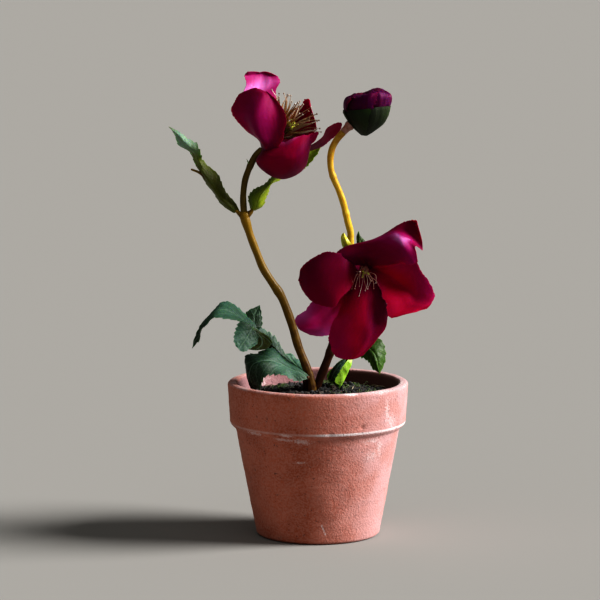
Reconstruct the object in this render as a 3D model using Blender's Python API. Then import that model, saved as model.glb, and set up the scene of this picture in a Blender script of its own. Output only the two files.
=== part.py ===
"""Potted hellebore: two plastic-stemmed flowering stalks with satin petals in a terracotta pot.

The base of the pot stands on z = 0 with its centre at the origin. +Z is up, and the side
that the picture shows faces -Y. Every table of places below is in millimetres.
"""

import math
import random

import bmesh
import bpy
from mathutils import Matrix, Vector, noise

MM = 0.001
GAP = 0.3
WELD = 1e-6
SEED = 11

# Pot: outer and inner sizes of a small thrown terracotta pot
POT_HEIGHT = 82.0
RIM_RADIUS = 48.0
COLLAR_FOOT_RADIUS = 46.5
COLLAR_FOOT_HEIGHT = 60.4
BODY_TOP_RADIUS = 43.4
BODY_TOP_HEIGHT = 57.0
BASE_RADIUS = 32.8
LIP_INNER_RADIUS = 42.7
FLOOR_RADIUS = 28.0
FLOOR_HEIGHT = 6.0
LIP_ROUNDING = 1.3
FOOT_ROUNDING = 2.0
POT_STEPS = 48

# Soil: a plug that fills the pot to just under the rim, with a plain hole for each stem
SOIL_EDGE_HEIGHT = 74.5
SOIL_MOUND = 3.0
SOIL_BUMP = 0.9
SOIL_STEPS = 32
SOIL_RINGS = 6
HOLE_TOP = 76.0
STEM_HOLE_DEPTH = 18.0
PETIOLE_HOLE_DEPTH = 12.0

# Stems: radii from the soil up
STEM_RADIUS = 2.2
STEM_TOP_RADIUS = 1.9
STALK_RADIUS = 1.65
PETIOLE_RADIUS = 1.3
NODE_RADIUS = 2.9
STEM_ROUNDNESS = 2
FILAMENT_ROUNDNESS = 0
STEM_STEP = 5.0
HOLE_CLEARANCE = 0.5
HOLE_SIDES = 16

# Blades: how thick petals and leaves are, and how finely they are divided
PETAL_THICKNESS = 0.7
LEAF_THICKNESS = 0.7
PETAL_ALONG = 8
PETAL_ACROSS = 6
LEAF_ACROSS = 4
ROLLED_LEAF_ACROSS = 7
SMALL_BLADE_ALONG = 6
TOOTH_PITCH = 4.4
TOOTH_DEPTH = 0.8

# Blooms: where the petals meet, which way the bloom looks, and its stamens
UPPER_HEART = (-26.0, -0.5, 208.0)
UPPER_AXIS = (0.68, -0.12, 0.72)
LOWER_HEART = (25.0, -12.5, 144.5)
LOWER_AXIS = (0.10, -0.96, -0.24)
HEART_RADIUS = 4.0
DOME_RADIUS = 1.9
FILAMENT_RADIUS = 0.42
ANTHER_RADIUS = 0.75
UPPER_BRUSH = {"count": 22, "length": 21.0, "spread": (46.0, 16.0), "droop": 0.0}
LOWER_BRUSH = {"count": 14, "length": 9.5, "spread": (30.0, 20.0), "droop": 2.0}
GOLDEN_ANGLE = math.radians(137.508)

# Bud: a calyx cup with folded petals standing out of it
BUD_FOOT = (24.0, -2.0, 212.5)
BUD_TILT = 5.0
BUD_STEPS = 30
BUD_FOLDS = 5
FOLD_STEP = 0.85
CALYX_FOLD = 0.03
PETAL_FOLD = 0.05
CROWN_START = 16.0
CROWN_RISE = 6.0
CROWN_RUFFLE = 0.5
CROWN_LEAN = 1.4
CALYX_PROFILE = [
    (0.0, 0.0), (1.2, 0.3), (4.2, 2.6), (7.0, 5.2), (9.6, 8.2), (11.3, 11.2), (11.9, 13.6), (11.2, 13.9),
    (0.0, 12.4),
]
BUD_PETAL_PROFILE = [
    (0.0, 12.8), (10.9, 14.25), (11.6, 14.5), (12.0, 16.5), (11.8, 18.6), (10.8, 20.6), (8.6, 21.8),
    (5.4, 21.6), (2.4, 20.6), (0.0, 20.4),
]
COLLAR = [(13.25, -2.0, 214.45), (14.9, -2.0, 216.2), (16.9, -2.0, 218.2)]
COLLAR_RADII = [1.9, 2.7]

# Stems as they run, from inside the soil to the top; each point is (x, y, z)
LEFT_STEM = [
    (-3.0, -1.5, 60.0), (-3.0, -1.5, 69.0), (-3.1, -1.5, 77.5), (-4.2, -1.4, 83.5), (-6.8, -1.2, 91.0),
    (-10.5, -1.0, 100.5), (-14.0, -0.5, 112.5), (-17.0, 0.0, 121.0), (-20.0, 0.0, 128.0), (-24.0, 0.5, 134.0),
    (-29.0, 1.0, 142.0), (-32.5, 1.0, 150.5), (-35.7, 0.5, 159.0), (-38.0, 0.0, 166.5), (-39.2, 0.0, 170.5),
]
FLOWER_STALK = [
    (-39.0, 0.0, 169.0), (-39.5, -0.5, 177.0), (-39.5, -1.0, 181.0), (-39.0, -1.0, 186.0), (-38.2, -1.0, 190.0),
    (-36.0, -1.0, 196.0), (-34.0, -1.0, 200.0), (-31.9, -1.0, 202.9), (-29.6, -0.8, 205.0),
]
RIGHT_STEM = [
    (-0.6, 3.5, 60.0), (-0.6, 3.5, 69.0), (-0.5, 3.5, 77.5), (0.5, 3.4, 81.5), (1.8, 3.2, 85.0),
    (3.7, 2.8, 89.5), (7.2, 2.2, 99.5), (11.0, 1.4, 113.5), (14.5, 0.6, 133.0), (15.7, 0.2, 144.0),
    (17.0, 0.0, 153.0),
]
BUD_STALK = [
    (17.0, 0.0, 152.0), (17.0, 0.0, 157.0), (17.0, 0.0, 161.0), (15.5, -1.0, 167.0), (14.0, -1.5, 173.5),
    (12.5, -2.0, 179.0), (10.5, -2.0, 184.5), (8.5, -2.0, 189.0), (6.7, -2.0, 194.5), (6.3, -2.0, 200.0),
    (7.0, -2.0, 205.0), (8.5, -2.0, 208.5), (10.5, -2.0, 211.5), (13.0, -2.0, 214.2),
]
PEDICEL = [(17.0, 0.0, 152.5), (19.5, -1.0, 150.5), (22.8, -3.8, 147.6), (24.5, -8.0, 145.6)]
TALL_LEAF_PETIOLE = [(-8.6, 3.6, 68.0), (-8.6, 3.6, 79.0), (-8.7, 3.0, 83.0), (-9.0, 2.0, 86.5)]
LOW_LEAF_PETIOLE = [(-4.7, -6.4, 68.0), (-4.7, -6.4, 78.5), (-4.9, -5.8, 82.0), (-5.4, -5.1, 84.8)]
LIME_LEAF_PETIOLE = [(10.5, 8.0, 68.0), (10.8, 8.0, 76.0), (11.2, 8.0, 79.0), (11.6, 8.0, 80.5)]
RIGHT_LEAF_PETIOLE = [(13.4, 1.6, 112.0), (17.5, 2.6, 112.0), (21.2, 3.0, 108.0), (24.4, 1.9, 102.4)]

# Blades as rows of points from one edge to the other, from the root to the tip
FRONT_PETAL = [
    [(-29.5, -4, 206.5), (-27, -6, 206), (-23, -4, 206)],
    [(-30.5, -6, 209.5), (-27.5, -12, 209.5), (-20.5, -10, 207.5)],
    [(-35.5, -9, 214), (-28.5, -18, 216), (-18.5, -13, 214)],
    [(-41.5, -10, 219), (-29, -20, 222.5), (-17.5, -13, 220.5)],
    [(-45.5, -9, 224), (-29.5, -20, 228.5), (-18, -12, 225.5)],
    [(-44, -8, 231), (-30.5, -17, 233.5), (-22, -11, 231)],
    [(-39, -8, 235.5), (-32, -13, 236.5), (-27, -10, 235)],
    [(-34, -9, 237.5), (-32, -10, 238), (-30.5, -10, 237.5)],
]
BACK_PETAL = [
    [(-28.5, 2, 207.5), (-26.5, 3, 208.5), (-23.5, 3, 208.5)],
    [(-36, 5, 217.5), (-27.5, 11, 218.5), (-20, 8, 219)],
    [(-40.5, 6, 227.5), (-29.5, 14, 228.5), (-21, 9, 228.5)],
    [(-39.5, 5, 236), (-30, 13, 236.5), (-22, 8, 236.5)],
    [(-38, 3, 241.5), (-29.5, 10, 241.5), (-20, 6, 240.5)],
    [(-38, 5, 244.5), (-29.5, 9, 245), (-22, 8, 243)],
    [(-35, 9, 245.5), (-30.5, 11, 245.5), (-27, 11, 245)],
]
CUPPED_PETAL = [
    [(-28.5, -4, 208), (-29, -5, 206.5), (-29, -5, 205), (-25, 1, 205)],
    [(-25.5, -10, 207), (-27.5, -12, 202), (-31, -6, 197), (-25.5, 3, 197)],
    [(-20, -13, 209.5), (-20.5, -15, 201), (-26.5, -5, 192), (-20.5, 5, 192.5)],
    [(-15.5, -14, 211), (-15, -17, 201.5), (-19.5, -5, 190), (-15.5, 5, 192)],
    [(-10.5, -14, 213), (-10, -16, 203.5), (-12, -4, 191.5), (-10.5, 4, 195)],
    [(-7, -12, 215), (-6.5, -13, 206.5), (-7, -4, 195.5), (-8, 2, 199)],
    [(-1, -9, 214.5), (-4.5, -10, 209), (-6, -6, 202.5), (-7, -2, 204)],
]
BACK_RIGHT_PETAL = [
    [(-24.5, 3, 209), (-22.5, 3, 208), (-22, 2, 206.5)],
    [(-18, 9, 215.5), (-15, 12, 212), (-11.5, 8, 208.5)],
    [(-13, 10, 223), (-8, 14, 217.5), (-4.5, 8, 210.5)],
    [(-9.5, 9, 227.5), (-5, 12, 221), (-1.5, 7, 214.5)],
    [(-7, 8, 230), (-4.5, 9, 226.5), (-2, 7, 221)],
    [(-5.5, 7, 231), (-5, 7, 230), (-4.5, 7, 228.5)],
]
TWISTED_PETAL = [
    [(-23, 1, 207), (-23, 2, 206), (-23, 3, 205)],
    [(-13.5, 2, 206), (-13, 5, 204), (-13, 8, 201)],
    [(-5, 1, 207), (-5, 5, 205), (-5.5, 9, 203)],
    [(2, 0, 211.5), (2, 5, 208.5), (2, 9, 206)],
    [(4.5, 0, 216.5), (6.5, 5, 213.5), (7, 9, 210)],
    [(9, 2, 219), (10, 5, 216), (10, 8, 212.5)],
    [(12, 4, 219), (12.5, 5, 218), (12, 7, 215.5)],
]
LEFT_PETAL = [
    [(24, -15, 146), (22.5, -14, 144.5), (22, -15, 142.5)],
    [(17.5, -14, 155.5), (14.5, -22, 146), (16.5, -24, 135)],
    [(10, -17, 153.5), (7, -28, 144), (11.5, -31, 130)],
    [(2, -18, 152.5), (-0.5, -29, 141), (7, -33, 125)],
    [(-5, -18, 148.5), (-5.5, -26, 139), (-2.5, -29, 127)],
    [(-9, -18, 144), (-8.5, -22, 138.5), (-7.5, -24, 131.5)],
    [(-10, -18, 139.5), (-10.5, -19, 138), (-10, -19, 135.5)],
]
LOWER_LEFT_PETAL = [
    [(22.5, -13, 144.5), (23, -13, 143), (24, -13, 142)],
    [(10.5, -17, 137), (14, -15, 132), (17.5, -16, 127.5)],
    [(2, -20, 130), (7.5, -17, 124), (13, -18, 118)],
    [(-3.5, -21, 126.5), (2, -21, 118.5), (8.5, -20, 111.5)],
    [(-8, -20, 121.5), (-4, -24, 116), (3, -22, 109)],
    [(-11.5, -19, 117.5), (-9, -24, 114), (-3.5, -23, 109.5)],
    [(-11.5, -20, 115), (-10, -22, 112.5), (-8, -22, 111.5)],
]
BOTTOM_PETAL = [
    [(22, -15, 143), (24.5, -14, 142.5), (26.5, -15, 143)],
    [(17, -20, 135.5), (23, -22, 134.5), (31.5, -17, 137)],
    [(13, -24, 125.5), (22, -29, 125.5), (36, -22, 130)],
    [(7.5, -28, 117.5), (21, -34, 116.5), (37, -26, 121)],
    [(5, -31, 111.5), (19, -36, 109), (34, -29, 114)],
    [(6.5, -33, 104.5), (16.5, -36, 103), (28, -33, 106)],
    [(9.5, -34, 100), (15, -35, 99.5), (21.5, -34, 101)],
]
RIGHT_PETAL = [
    [(26, -15, 146), (27, -14, 144.5), (27, -15, 143)],
    [(34.5, -20, 148), (33.5, -17, 142.5), (29.5, -20, 139)],
    [(43.5, -25, 148.5), (40.5, -21, 138), (32.5, -26, 133)],
    [(50, -28, 149), (47, -26, 134.5), (35, -31, 127.5)],
    [(54.5, -28, 142), (52, -28, 130.5), (37.5, -33, 120.5)],
    [(59, -27, 135.5), (56, -29, 128), (46.5, -33, 122)],
    [(60.5, -27, 131), (59.5, -28, 128.5), (56.5, -29, 125)],
]
TOP_PETAL = [
    [(26.5, -15, 144.5), (25.5, -15, 145), (24.5, -14, 145.5), (24, -14, 146), (23.5, -13, 146.5)],
    [(31, -21, 145.5), (28, -20, 149), (24, -16, 151.5), (21, -13, 154), (17.5, -11, 156)],
    [(38, -26, 146.5), (35, -26, 151.5), (32, -22, 155.5), (29.5, -17, 157), (26, -13, 157.5)],
    [(44.5, -30, 148), (41.5, -31, 155.5), (38.5, -28, 160.5), (36, -22, 161.5), (35, -18, 163.5)],
    [(48, -31, 148.5), (44.5, -33, 156), (42.5, -31, 161.5), (41.5, -24, 164.5), (43, -20, 168.5)],
    [(50, -31, 148.5), (48.5, -32, 155), (47, -30, 160), (47.5, -24, 162), (48, -21, 171)],
    [(51.5, -30, 149), (50.5, -31, 154), (50, -29, 157), (54, -23, 155), (51, -21, 170)],
]
ARCHING_LOBE = [
    [(-8, 3, 86), (-8.5, 1.5, 85.5), (-9.5, 0, 86)],
    [(-17, 7, 94.5), (-18, 4, 93), (-19.5, 2, 96.5)],
    [(-24, 7, 104.5), (-26.5, 3, 100), (-27.5, -2, 104.5)],
    [(-30, 6, 109.5), (-32.5, 1, 106), (-32.5, -5, 109.5)],
    [(-35, 5, 113), (-36, 0, 112), (-36.5, -5, 112.5)],
    [(-40, 6, 118), (-41.5, -2, 116), (-42, -9, 115.5)],
    [(-45.5, 5, 122), (-47, -4, 119.5), (-49, -12, 117)],
    [(-51, 3, 123), (-52.5, -5, 121), (-55, -12, 117.5)],
    [(-55.5, 1, 118.5), (-57, -5, 118), (-58.5, -10, 115)],
    [(-61, -1, 112), (-61.5, -5, 111), (-62, -8, 110.5)],
    [(-63.5, -2, 108.5), (-63, -5, 106.5), (-62, -8, 106)],
    [(-66, -3, 104), (-65.5, -4, 103.5), (-64.5, -5, 102.5)],
    [(-66.5, -4, 100)],
]
UPRIGHT_LOBE = [
    [(-36, 3, 111), (-35, 3, 110.5), (-34, 3, 110)],
    [(-38, 7, 114), (-34.5, 6, 113.5), (-30.5, 5, 110)],
    [(-38, 9, 117), (-33.5, 8, 116.5), (-30, 7, 114)],
    [(-35, 10, 119), (-32.5, 10, 119), (-30.5, 9, 117.5)],
    [(-31, 11, 121)],
]
HANGING_LOBE = [
    [(-38, -4, 113.5), (-37, -4, 112.5), (-36, -4, 112)],
    [(-42, -9, 113.5), (-38, -9, 110.5), (-34, -7, 108.5)],
    [(-44.5, -12, 109), (-39, -12, 107), (-31, -9, 104.5)],
    [(-45, -13, 105), (-39.5, -14, 104), (-32.5, -9, 101.5)],
    [(-42, -13, 102), (-40, -13, 101), (-37, -10, 100)],
    [(-40, -12, 100)],
]
BACK_LOBE = [
    [(-9, 1, 85.5), (-8.5, 2.5, 85), (-8, 4, 85)],
    [(-13.5, 6, 89), (-11, 8, 88.5), (-8.5, 9, 88)],
    [(-16.5, 9, 93), (-14, 11, 91.5), (-10.5, 12, 91)],
    [(-17, 10, 94.5), (-15, 12, 93.5), (-12.5, 13, 93)],
    [(-14.5, 12, 95)],
]
LOW_LEAF = [
    [(-4.7, -4.6, 85.4), (-5.2, -5.1, 84.6), (-5.5, -5.6, 83.8)],
    [(-11, -2, 90), (-9.5, -5, 87.5), (-9.5, -8, 83.5)],
    [(-16.5, -1, 93.5), (-15, -5, 89.5), (-14.5, -9, 84.5)],
    [(-22, -1, 99), (-20, -7, 90.5), (-19.5, -12, 87.5)],
    [(-27.5, -2, 99.5), (-25.5, -9, 93), (-24.5, -13, 88)],
    [(-33, -2, 97), (-30.5, -11, 93.5), (-28.5, -14, 86.5)],
    [(-37.5, -1, 95.5), (-34.5, -11, 91.5), (-30, -14, 83.5)],
    [(-39, -3, 91.5), (-36, -12, 86.5), (-31, -14, 80.5)],
    [(-38.5, -4, 86.5), (-36, -11, 82.5), (-33.5, -12, 80)],
    [(-35.5, -9, 79)],
]
LIME_LEAF = [
    [(10.5, 8, 78), (11.5, 9, 78), (12, 8, 78.5), (12.5, 7, 78.5)],
    [(5.5, 9, 82), (10, 11, 80.5), (14, 8, 81.5), (11.5, 5, 81)],
    [(4.5, 10, 84), (10.5, 13, 84.5), (15, 9, 84.5), (12, 5, 83.5)],
    [(9, 11, 88), (12.5, 13, 88), (16.5, 9, 88), (13.5, 6, 87)],
    [(12.5, 12, 91), (14.5, 13, 91), (17.5, 10, 91), (15, 8, 90)],
    [(17, 12, 94)],
]
RIGHT_LEAF = [
    [(25.5, 3, 104.5), (24, 2, 103), (22.5, 3, 101)],
    [(30, 4, 104.5), (26.5, 0, 99.5), (22.5, 3, 95.5)],
    [(34, 3, 101.5), (29, -2, 96.5), (25.5, 2, 93)],
    [(35.5, 2, 96.5), (30.5, -3, 93), (27.5, 1, 91)],
    [(35, 1, 91.5), (31.5, -3, 90), (29, 0, 88.5)],
    [(32.5, -2, 86)],
]
LEFT_BRACT = [
    [(-41.5, -0.5, 173), (-43, -1, 172), (-44.5, -0.5, 171.5)],
    [(-43.5, 2, 176), (-46, -2, 175), (-48.5, 1, 174)],
    [(-47.5, 3, 180.5), (-50.5, -3, 179), (-53, 2, 178)],
    [(-50.5, 3, 185.5), (-54, -4, 184), (-56.5, 2, 183.5)],
    [(-52.5, 3, 191), (-57, -4, 189), (-60, 1, 189.5)],
    [(-57, 2, 195), (-60.5, -3, 194), (-63, 1, 194.5)],
    [(-61, -1, 199.5), (-62.5, -2, 198.5), (-65, 3, 199)],
    [(-62, -3, 203.5), (-64.5, -2, 203), (-68, 3, 203)],
    [(-64.5, -3, 208.5), (-68, -4, 206.5), (-71.5, 1, 206)],
    [(-69.5, -2, 211.5), (-71.5, -4, 210.5), (-73.5, 0, 209)],
    [(-74.5, -1, 214.5), (-75, -2, 214), (-75.5, -1, 213.5)],
    [(-78.5, -1, 217)],
]
BRACT_TWIG = [(-58.5, -0.5, 189.0), (-62.0, 0.0, 192.5), (-66.8, 0.5, 194.5)]
RIGHT_BRACT = [
    [(-35.8, 1, 173.5), (-34.5, 0, 173), (-33.2, 2, 172.5)],
    [(-36.2, 2, 176.5), (-32.5, -3, 175.5), (-29.5, 1, 175)],
    [(-36, 3, 180.5), (-31, -4, 180), (-28, 1, 179.5)],
    [(-33, 4, 183.5), (-28.5, -2, 183.5), (-26, 3, 182.5)],
    [(-28.5, 6, 186), (-25.5, 2, 186.5), (-24, 6, 186.5)],
    [(-25, 9, 188.5), (-23.5, 6, 188), (-21.5, 9, 188)],
    [(-19.5, 13, 194.5), (-17.5, 10, 193), (-16, 12, 190.5)],
    [(-13.5, 15, 200), (-11, 13, 197.5), (-9.5, 13, 193.5)],
    [(-7.5, 16, 202.5), (-6, 15, 200), (-5.5, 13, 195.5)],
    [(-2, 16, 204), (-1.5, 16, 202.5), (-0.5, 14, 201.5)],
    [(2, 16, 205.5)],
]
DARK_BRACT = [
    [(18.3, 2.0, 149), (19.3, 2.2, 148.5), (20.3, 2.2, 148.3)],
    [(19, 4, 152), (21, 3, 151.5), (23.5, 4, 151.5)],
    [(20.5, 5, 155), (22, 4, 155), (25, 5, 155.5)],
    [(20.5, 6, 158), (22, 5, 158.5), (23, 6, 158)],
    [(21.5, 7, 161)],
]
SPROUT = [
    [(14.3, -2.6, 151.5), (15.1, -3.1, 151.6), (16, -3.3, 151.8)],
    [(12.5, -5, 155), (14.5, -7, 155.5), (17, -6, 156)],
    [(12, -5, 158.5), (14, -7, 158), (15.5, -6, 158.5)],
    [(12.5, -4, 160.5), (13.5, -5, 160.5), (14.5, -5, 160)],
    [(13.5, -4, 161.5)],
]

# Colours as linear red, green, blue, with roughness
SKINS = {
    "terracotta": ((0.50, 0.20, 0.13), 0.92),
    "soil": ((0.012, 0.016, 0.018), 0.95),
    "olive_stem": ((0.20, 0.12, 0.01), 0.45),
    "brown_stem": ((0.07, 0.02, 0.008), 0.45),
    "leaf_green": ((0.05, 0.14, 0.075), 0.6),
    "lime_green": ((0.25, 0.42, 0.03), 0.5),
    "sprout_yellow": ((0.55, 0.50, 0.05), 0.5),
    "crimson_satin": ((0.22, 0.004, 0.045), 0.4),
    "filament_tan": ((0.30, 0.17, 0.08), 0.6),
    "bud_purple": ((0.05, 0.003, 0.03), 0.5),
    "calyx_green": ((0.02, 0.035, 0.012), 0.5),
    "clear_collar": ((0.45, 0.25, 0.22), 0.35),
}


def clear_scene():
    """Remove whatever the file holds."""
    for thing in list(bpy.data.objects):
        bpy.data.objects.remove(thing, do_unlink=True)


def skin(name):
    """Make one Principled material from the table of colours."""
    colour, roughness = SKINS[name]
    material = bpy.data.materials.new(name)
    material.use_nodes = True
    shader = material.node_tree.nodes["Principled BSDF"]
    shader.inputs["Base Color"].default_value = (*colour, 1.0)
    shader.inputs["Roughness"].default_value = roughness
    shader.inputs["Metallic"].default_value = 0.0
    return material


def new_object(name, mesh):
    """Put a mesh in the scene."""
    thing = bpy.data.objects.new(name, mesh)
    bpy.context.scene.collection.objects.link(thing)
    return thing


def finish(thing, skin_name, sharp_angle=40.0):
    """Give a finished node its material and smooth shading."""
    thing.data.materials.clear()
    thing.data.materials.append(skin(skin_name))
    thing.data.shade_smooth()
    thing.data.set_sharp_from_angle(angle=math.radians(sharp_angle))
    return thing


def baked(thing):
    """Replace an object by a mesh object that holds its evaluated shape."""
    graph = bpy.context.evaluated_depsgraph_get()
    mesh = bpy.data.meshes.new_from_object(thing.evaluated_get(graph))
    name = thing.name
    bpy.data.objects.remove(thing, do_unlink=True)
    return new_object(name, mesh)


def chord_knots(points):
    """Running length along a row of points, for a curve through them."""
    knots = [0.0]
    for a, b in zip(points, points[1:]):
        knots.append(knots[-1] + max((b - a).length, 1e-6))
    return knots


def on_curve(points, knots, t):
    """The place at t on the smooth curve that passes each point at its knot."""
    last = len(points) - 1
    i = 0
    while i < last - 1 and t > knots[i + 1]:
        i += 1
    span = knots[i + 1] - knots[i]
    s = (t - knots[i]) / span

    def slope(k):
        a = max(k - 1, 0)
        b = min(k + 1, last)
        return (points[b] - points[a]) / (knots[b] - knots[a])

    start = points[i] * ((1 + 2 * s) * (1 - s) ** 2) + slope(i) * (span * s * (1 - s) ** 2)
    end = points[i + 1] * (s * s * (3 - 2 * s)) - slope(i + 1) * (span * s * s * (1 - s))
    return start + end


def sampled(points, count):
    """Even samples of the smooth curve through the points."""
    knots = chord_knots(points)
    return [on_curve(points, knots, knots[-1] * k / (count - 1)) for k in range(count)]


def blade_grid(rows, along, across):
    """Points of a blade's middle surface, row by row from root to tip."""
    width = len(rows[0])
    full = [[Vector(p) for p in row] * (width if len(row) == 1 else 1) for row in rows]
    middle = chord_knots([row[width // 2] for row in full])
    grid = []
    for i in range(along + 1):
        t = middle[-1] * i / along
        station = [on_curve([row[k] for row in full], middle, t) for k in range(width)]
        grid.append(sampled(station, across + 1) if i < along or len(rows[-1]) > 1 else [station[0]])
    return grid


def cut_teeth(grid, depth, draw):
    """Pull every second edge point outwards and towards the tip, as a serrated margin."""
    for i in range(1, len(grid) - 2):
        ahead = (grid[i + 1][1] - grid[i][1]).normalized()
        for edge, inner in ((0, 1), (-1, -2)):
            out = (grid[i][edge] - grid[i][inner]).normalized()
            if i % 2:
                grid[i][edge] += (out * depth + ahead * depth) * draw.uniform(0.7, 1.2)


def blade(name, rows, thickness, along=PETAL_ALONG, across=PETAL_ACROSS, tooth=0.0):
    """A thin closed blade: a triangulated sheet through the rows, thickened both ways."""
    grid = blade_grid(rows, along, across)
    if tooth:
        cut_teeth(grid, tooth, random.Random(SEED + len(name)))
    bm = bmesh.new()
    made = [[bm.verts.new(p * MM) for p in row] for row in grid]
    for lower, upper in zip(made, made[1:]):
        for k in range(across):
            if len(upper) == 1:
                bm.faces.new((lower[k], lower[k + 1], upper[0]))
            else:
                bm.faces.new((lower[k], lower[k + 1], upper[k + 1]))
                bm.faces.new((lower[k], upper[k + 1], upper[k]))
    mesh = bpy.data.meshes.new(name)
    bm.to_mesh(mesh)
    bm.free()
    thing = new_object(name, mesh)
    shell = thing.modifiers.new("thickness", "SOLIDIFY")
    shell.thickness = thickness * MM
    shell.offset = 0.0
    return baked(thing)


def leaf(name, rows):
    """A blade with teeth, two rows of points to each tooth."""
    middle = [Vector(row[len(row) // 2]) for row in rows]
    along = 2 * max(3, round(chord_knots(middle)[-1] / TOOTH_PITCH))
    return blade(name, rows, LEAF_THICKNESS, along, LEAF_ACROSS, TOOTH_DEPTH)


def tube(name, points, radii, roundness=STEM_ROUNDNESS):
    """A round stem along a smooth curve, with radii read evenly from root to tip."""
    places = [Vector(p) for p in points]
    length = chord_knots(places)[-1]
    count = max(4, round(length / STEM_STEP) + 1)
    curve = bpy.data.curves.new(name, "CURVE")
    curve.dimensions = "3D"
    curve.bevel_depth = MM
    curve.bevel_resolution = roundness
    curve.use_fill_caps = True
    spline = curve.splines.new("POLY")
    spline.points.add(count - 1)
    for k, place in enumerate(sampled(places, count)):
        reach = (len(radii) - 1) * k / (count - 1)
        i = min(int(reach), len(radii) - 2)
        spline.points[k].co = (*(place * MM), 1.0)
        spline.points[k].radius = radii[i] + (radii[i + 1] - radii[i]) * (reach - i)
    stem = baked(new_object(name, curve))
    bm = bmesh.new()
    bm.from_mesh(stem.data)
    bmesh.ops.remove_doubles(bm, verts=bm.verts, dist=WELD)
    bm.to_mesh(stem.data)
    bm.free()
    return stem


def ball(name, centre, radius, stretch=(1.0, 1.0, 1.0), subdivisions=2):
    """A rounded lump, for a node, a heart or an anther."""
    bm = bmesh.new()
    bmesh.ops.create_icosphere(bm, subdivisions=subdivisions, radius=radius * MM)
    bmesh.ops.scale(bm, vec=stretch, verts=bm.verts)
    bmesh.ops.translate(bm, vec=Vector(centre) * MM, verts=bm.verts)
    mesh = bpy.data.meshes.new(name)
    bm.to_mesh(mesh)
    bm.free()
    return new_object(name, mesh)


def turned(name, profile, steps, shape=None):
    """A closed turned solid; the profile (radius, height) starts and ends on the axis.

    shape(radius, height, angle) may push a ring's point to another radius and height.
    """
    bm = bmesh.new()
    rings = []
    for radius, height in profile:
        if radius == 0.0:
            rings.append([bm.verts.new((0.0, 0.0, height * MM))])
            continue
        ring = []
        for k in range(steps):
            angle = 2 * math.pi * k / steps
            r, z = shape(radius, height, angle) if shape else (radius, height)
            ring.append(bm.verts.new((r * math.cos(angle) * MM, r * math.sin(angle) * MM, z * MM)))
        rings.append(ring)
    for one, two in zip(rings, rings[1:]):
        for k in range(steps):
            n = (k + 1) % steps
            if len(one) == 1:
                bm.faces.new((one[0], two[n], two[k]))
            elif len(two) == 1:
                bm.faces.new((one[k], one[n], two[0]))
            else:
                bm.faces.new((one[k], one[n], two[n]))
                bm.faces.new((one[k], two[n], two[k]))
    bmesh.ops.recalc_face_normals(bm, faces=bm.faces)
    mesh = bpy.data.meshes.new(name)
    bm.to_mesh(mesh)
    bm.free()
    return new_object(name, mesh)


def combine(name, pieces, operation="UNION", solver="EXACT"):
    """Join the pieces into the first, or cut them from it, by one Boolean on a collection."""
    body = pieces[0]
    group = bpy.data.collections.new(name + "_pieces")
    bpy.context.scene.collection.children.link(group)
    for piece in pieces[1:]:
        group.objects.link(piece)
    step = body.modifiers.new("combine", "BOOLEAN")
    step.operation = operation
    step.solver = solver
    step.operand_type = "COLLECTION"
    step.collection = group
    body.name = name
    result = baked(body)
    for piece in pieces[1:]:
        bpy.data.objects.remove(piece, do_unlink=True)
    bpy.data.collections.remove(group)
    result.name = name
    return result


def inner_wall_radius(height):
    """Radius of the pot's inside at a height."""
    share = (height - FLOOR_HEIGHT) / (POT_HEIGHT - FLOOR_HEIGHT)
    return FLOOR_RADIUS + (LIP_INNER_RADIUS - FLOOR_RADIUS) * share


def make_pot():
    """The pot: flat base, tapered body, thick collar and rounded lip, hollow inside."""
    top = POT_HEIGHT
    lip = LIP_ROUNDING
    foot = FOOT_ROUNDING
    profile = [
        (0.0, 0.0),
        (BASE_RADIUS - foot, 0.0),
        (BASE_RADIUS - foot * 0.3, foot * 0.3),
        (BASE_RADIUS + foot * 0.15, foot),
        (BODY_TOP_RADIUS, BODY_TOP_HEIGHT),
        (BODY_TOP_RADIUS + 0.8, BODY_TOP_HEIGHT + 1.0),
        (COLLAR_FOOT_RADIUS - 0.9, COLLAR_FOOT_HEIGHT - 1.3),
        (COLLAR_FOOT_RADIUS, COLLAR_FOOT_HEIGHT),
        (RIM_RADIUS, top - lip),
        (RIM_RADIUS - lip * 0.3, top - lip * 0.3),
        (RIM_RADIUS - lip, top),
        (LIP_INNER_RADIUS + lip, top),
        (LIP_INNER_RADIUS + lip * 0.3, top - lip * 0.3),
        (LIP_INNER_RADIUS, top - lip),
        (FLOOR_RADIUS, FLOOR_HEIGHT + 2.0),
        (FLOOR_RADIUS - 2.0, FLOOR_HEIGHT),
        (0.0, FLOOR_HEIGHT),
    ]
    return finish(turned("pot", profile, POT_STEPS), "terracotta")


def hole(name, route, radius, depth):
    """A plain upright cutter that reaches as deep below the soil's top as it stands above it."""
    foot = next(Vector(p) for p in route if p[2] >= HOLE_TOP)
    bm = bmesh.new()
    bmesh.ops.create_cone(
        bm, cap_ends=True, segments=HOLE_SIDES, radius1=radius * MM, radius2=radius * MM, depth=2 * depth * MM
    )
    bmesh.ops.translate(bm, vec=foot * MM, verts=bm.verts)
    mesh = bpy.data.meshes.new(name)
    bm.to_mesh(mesh)
    bm.free()
    return new_object(name, mesh)


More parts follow.
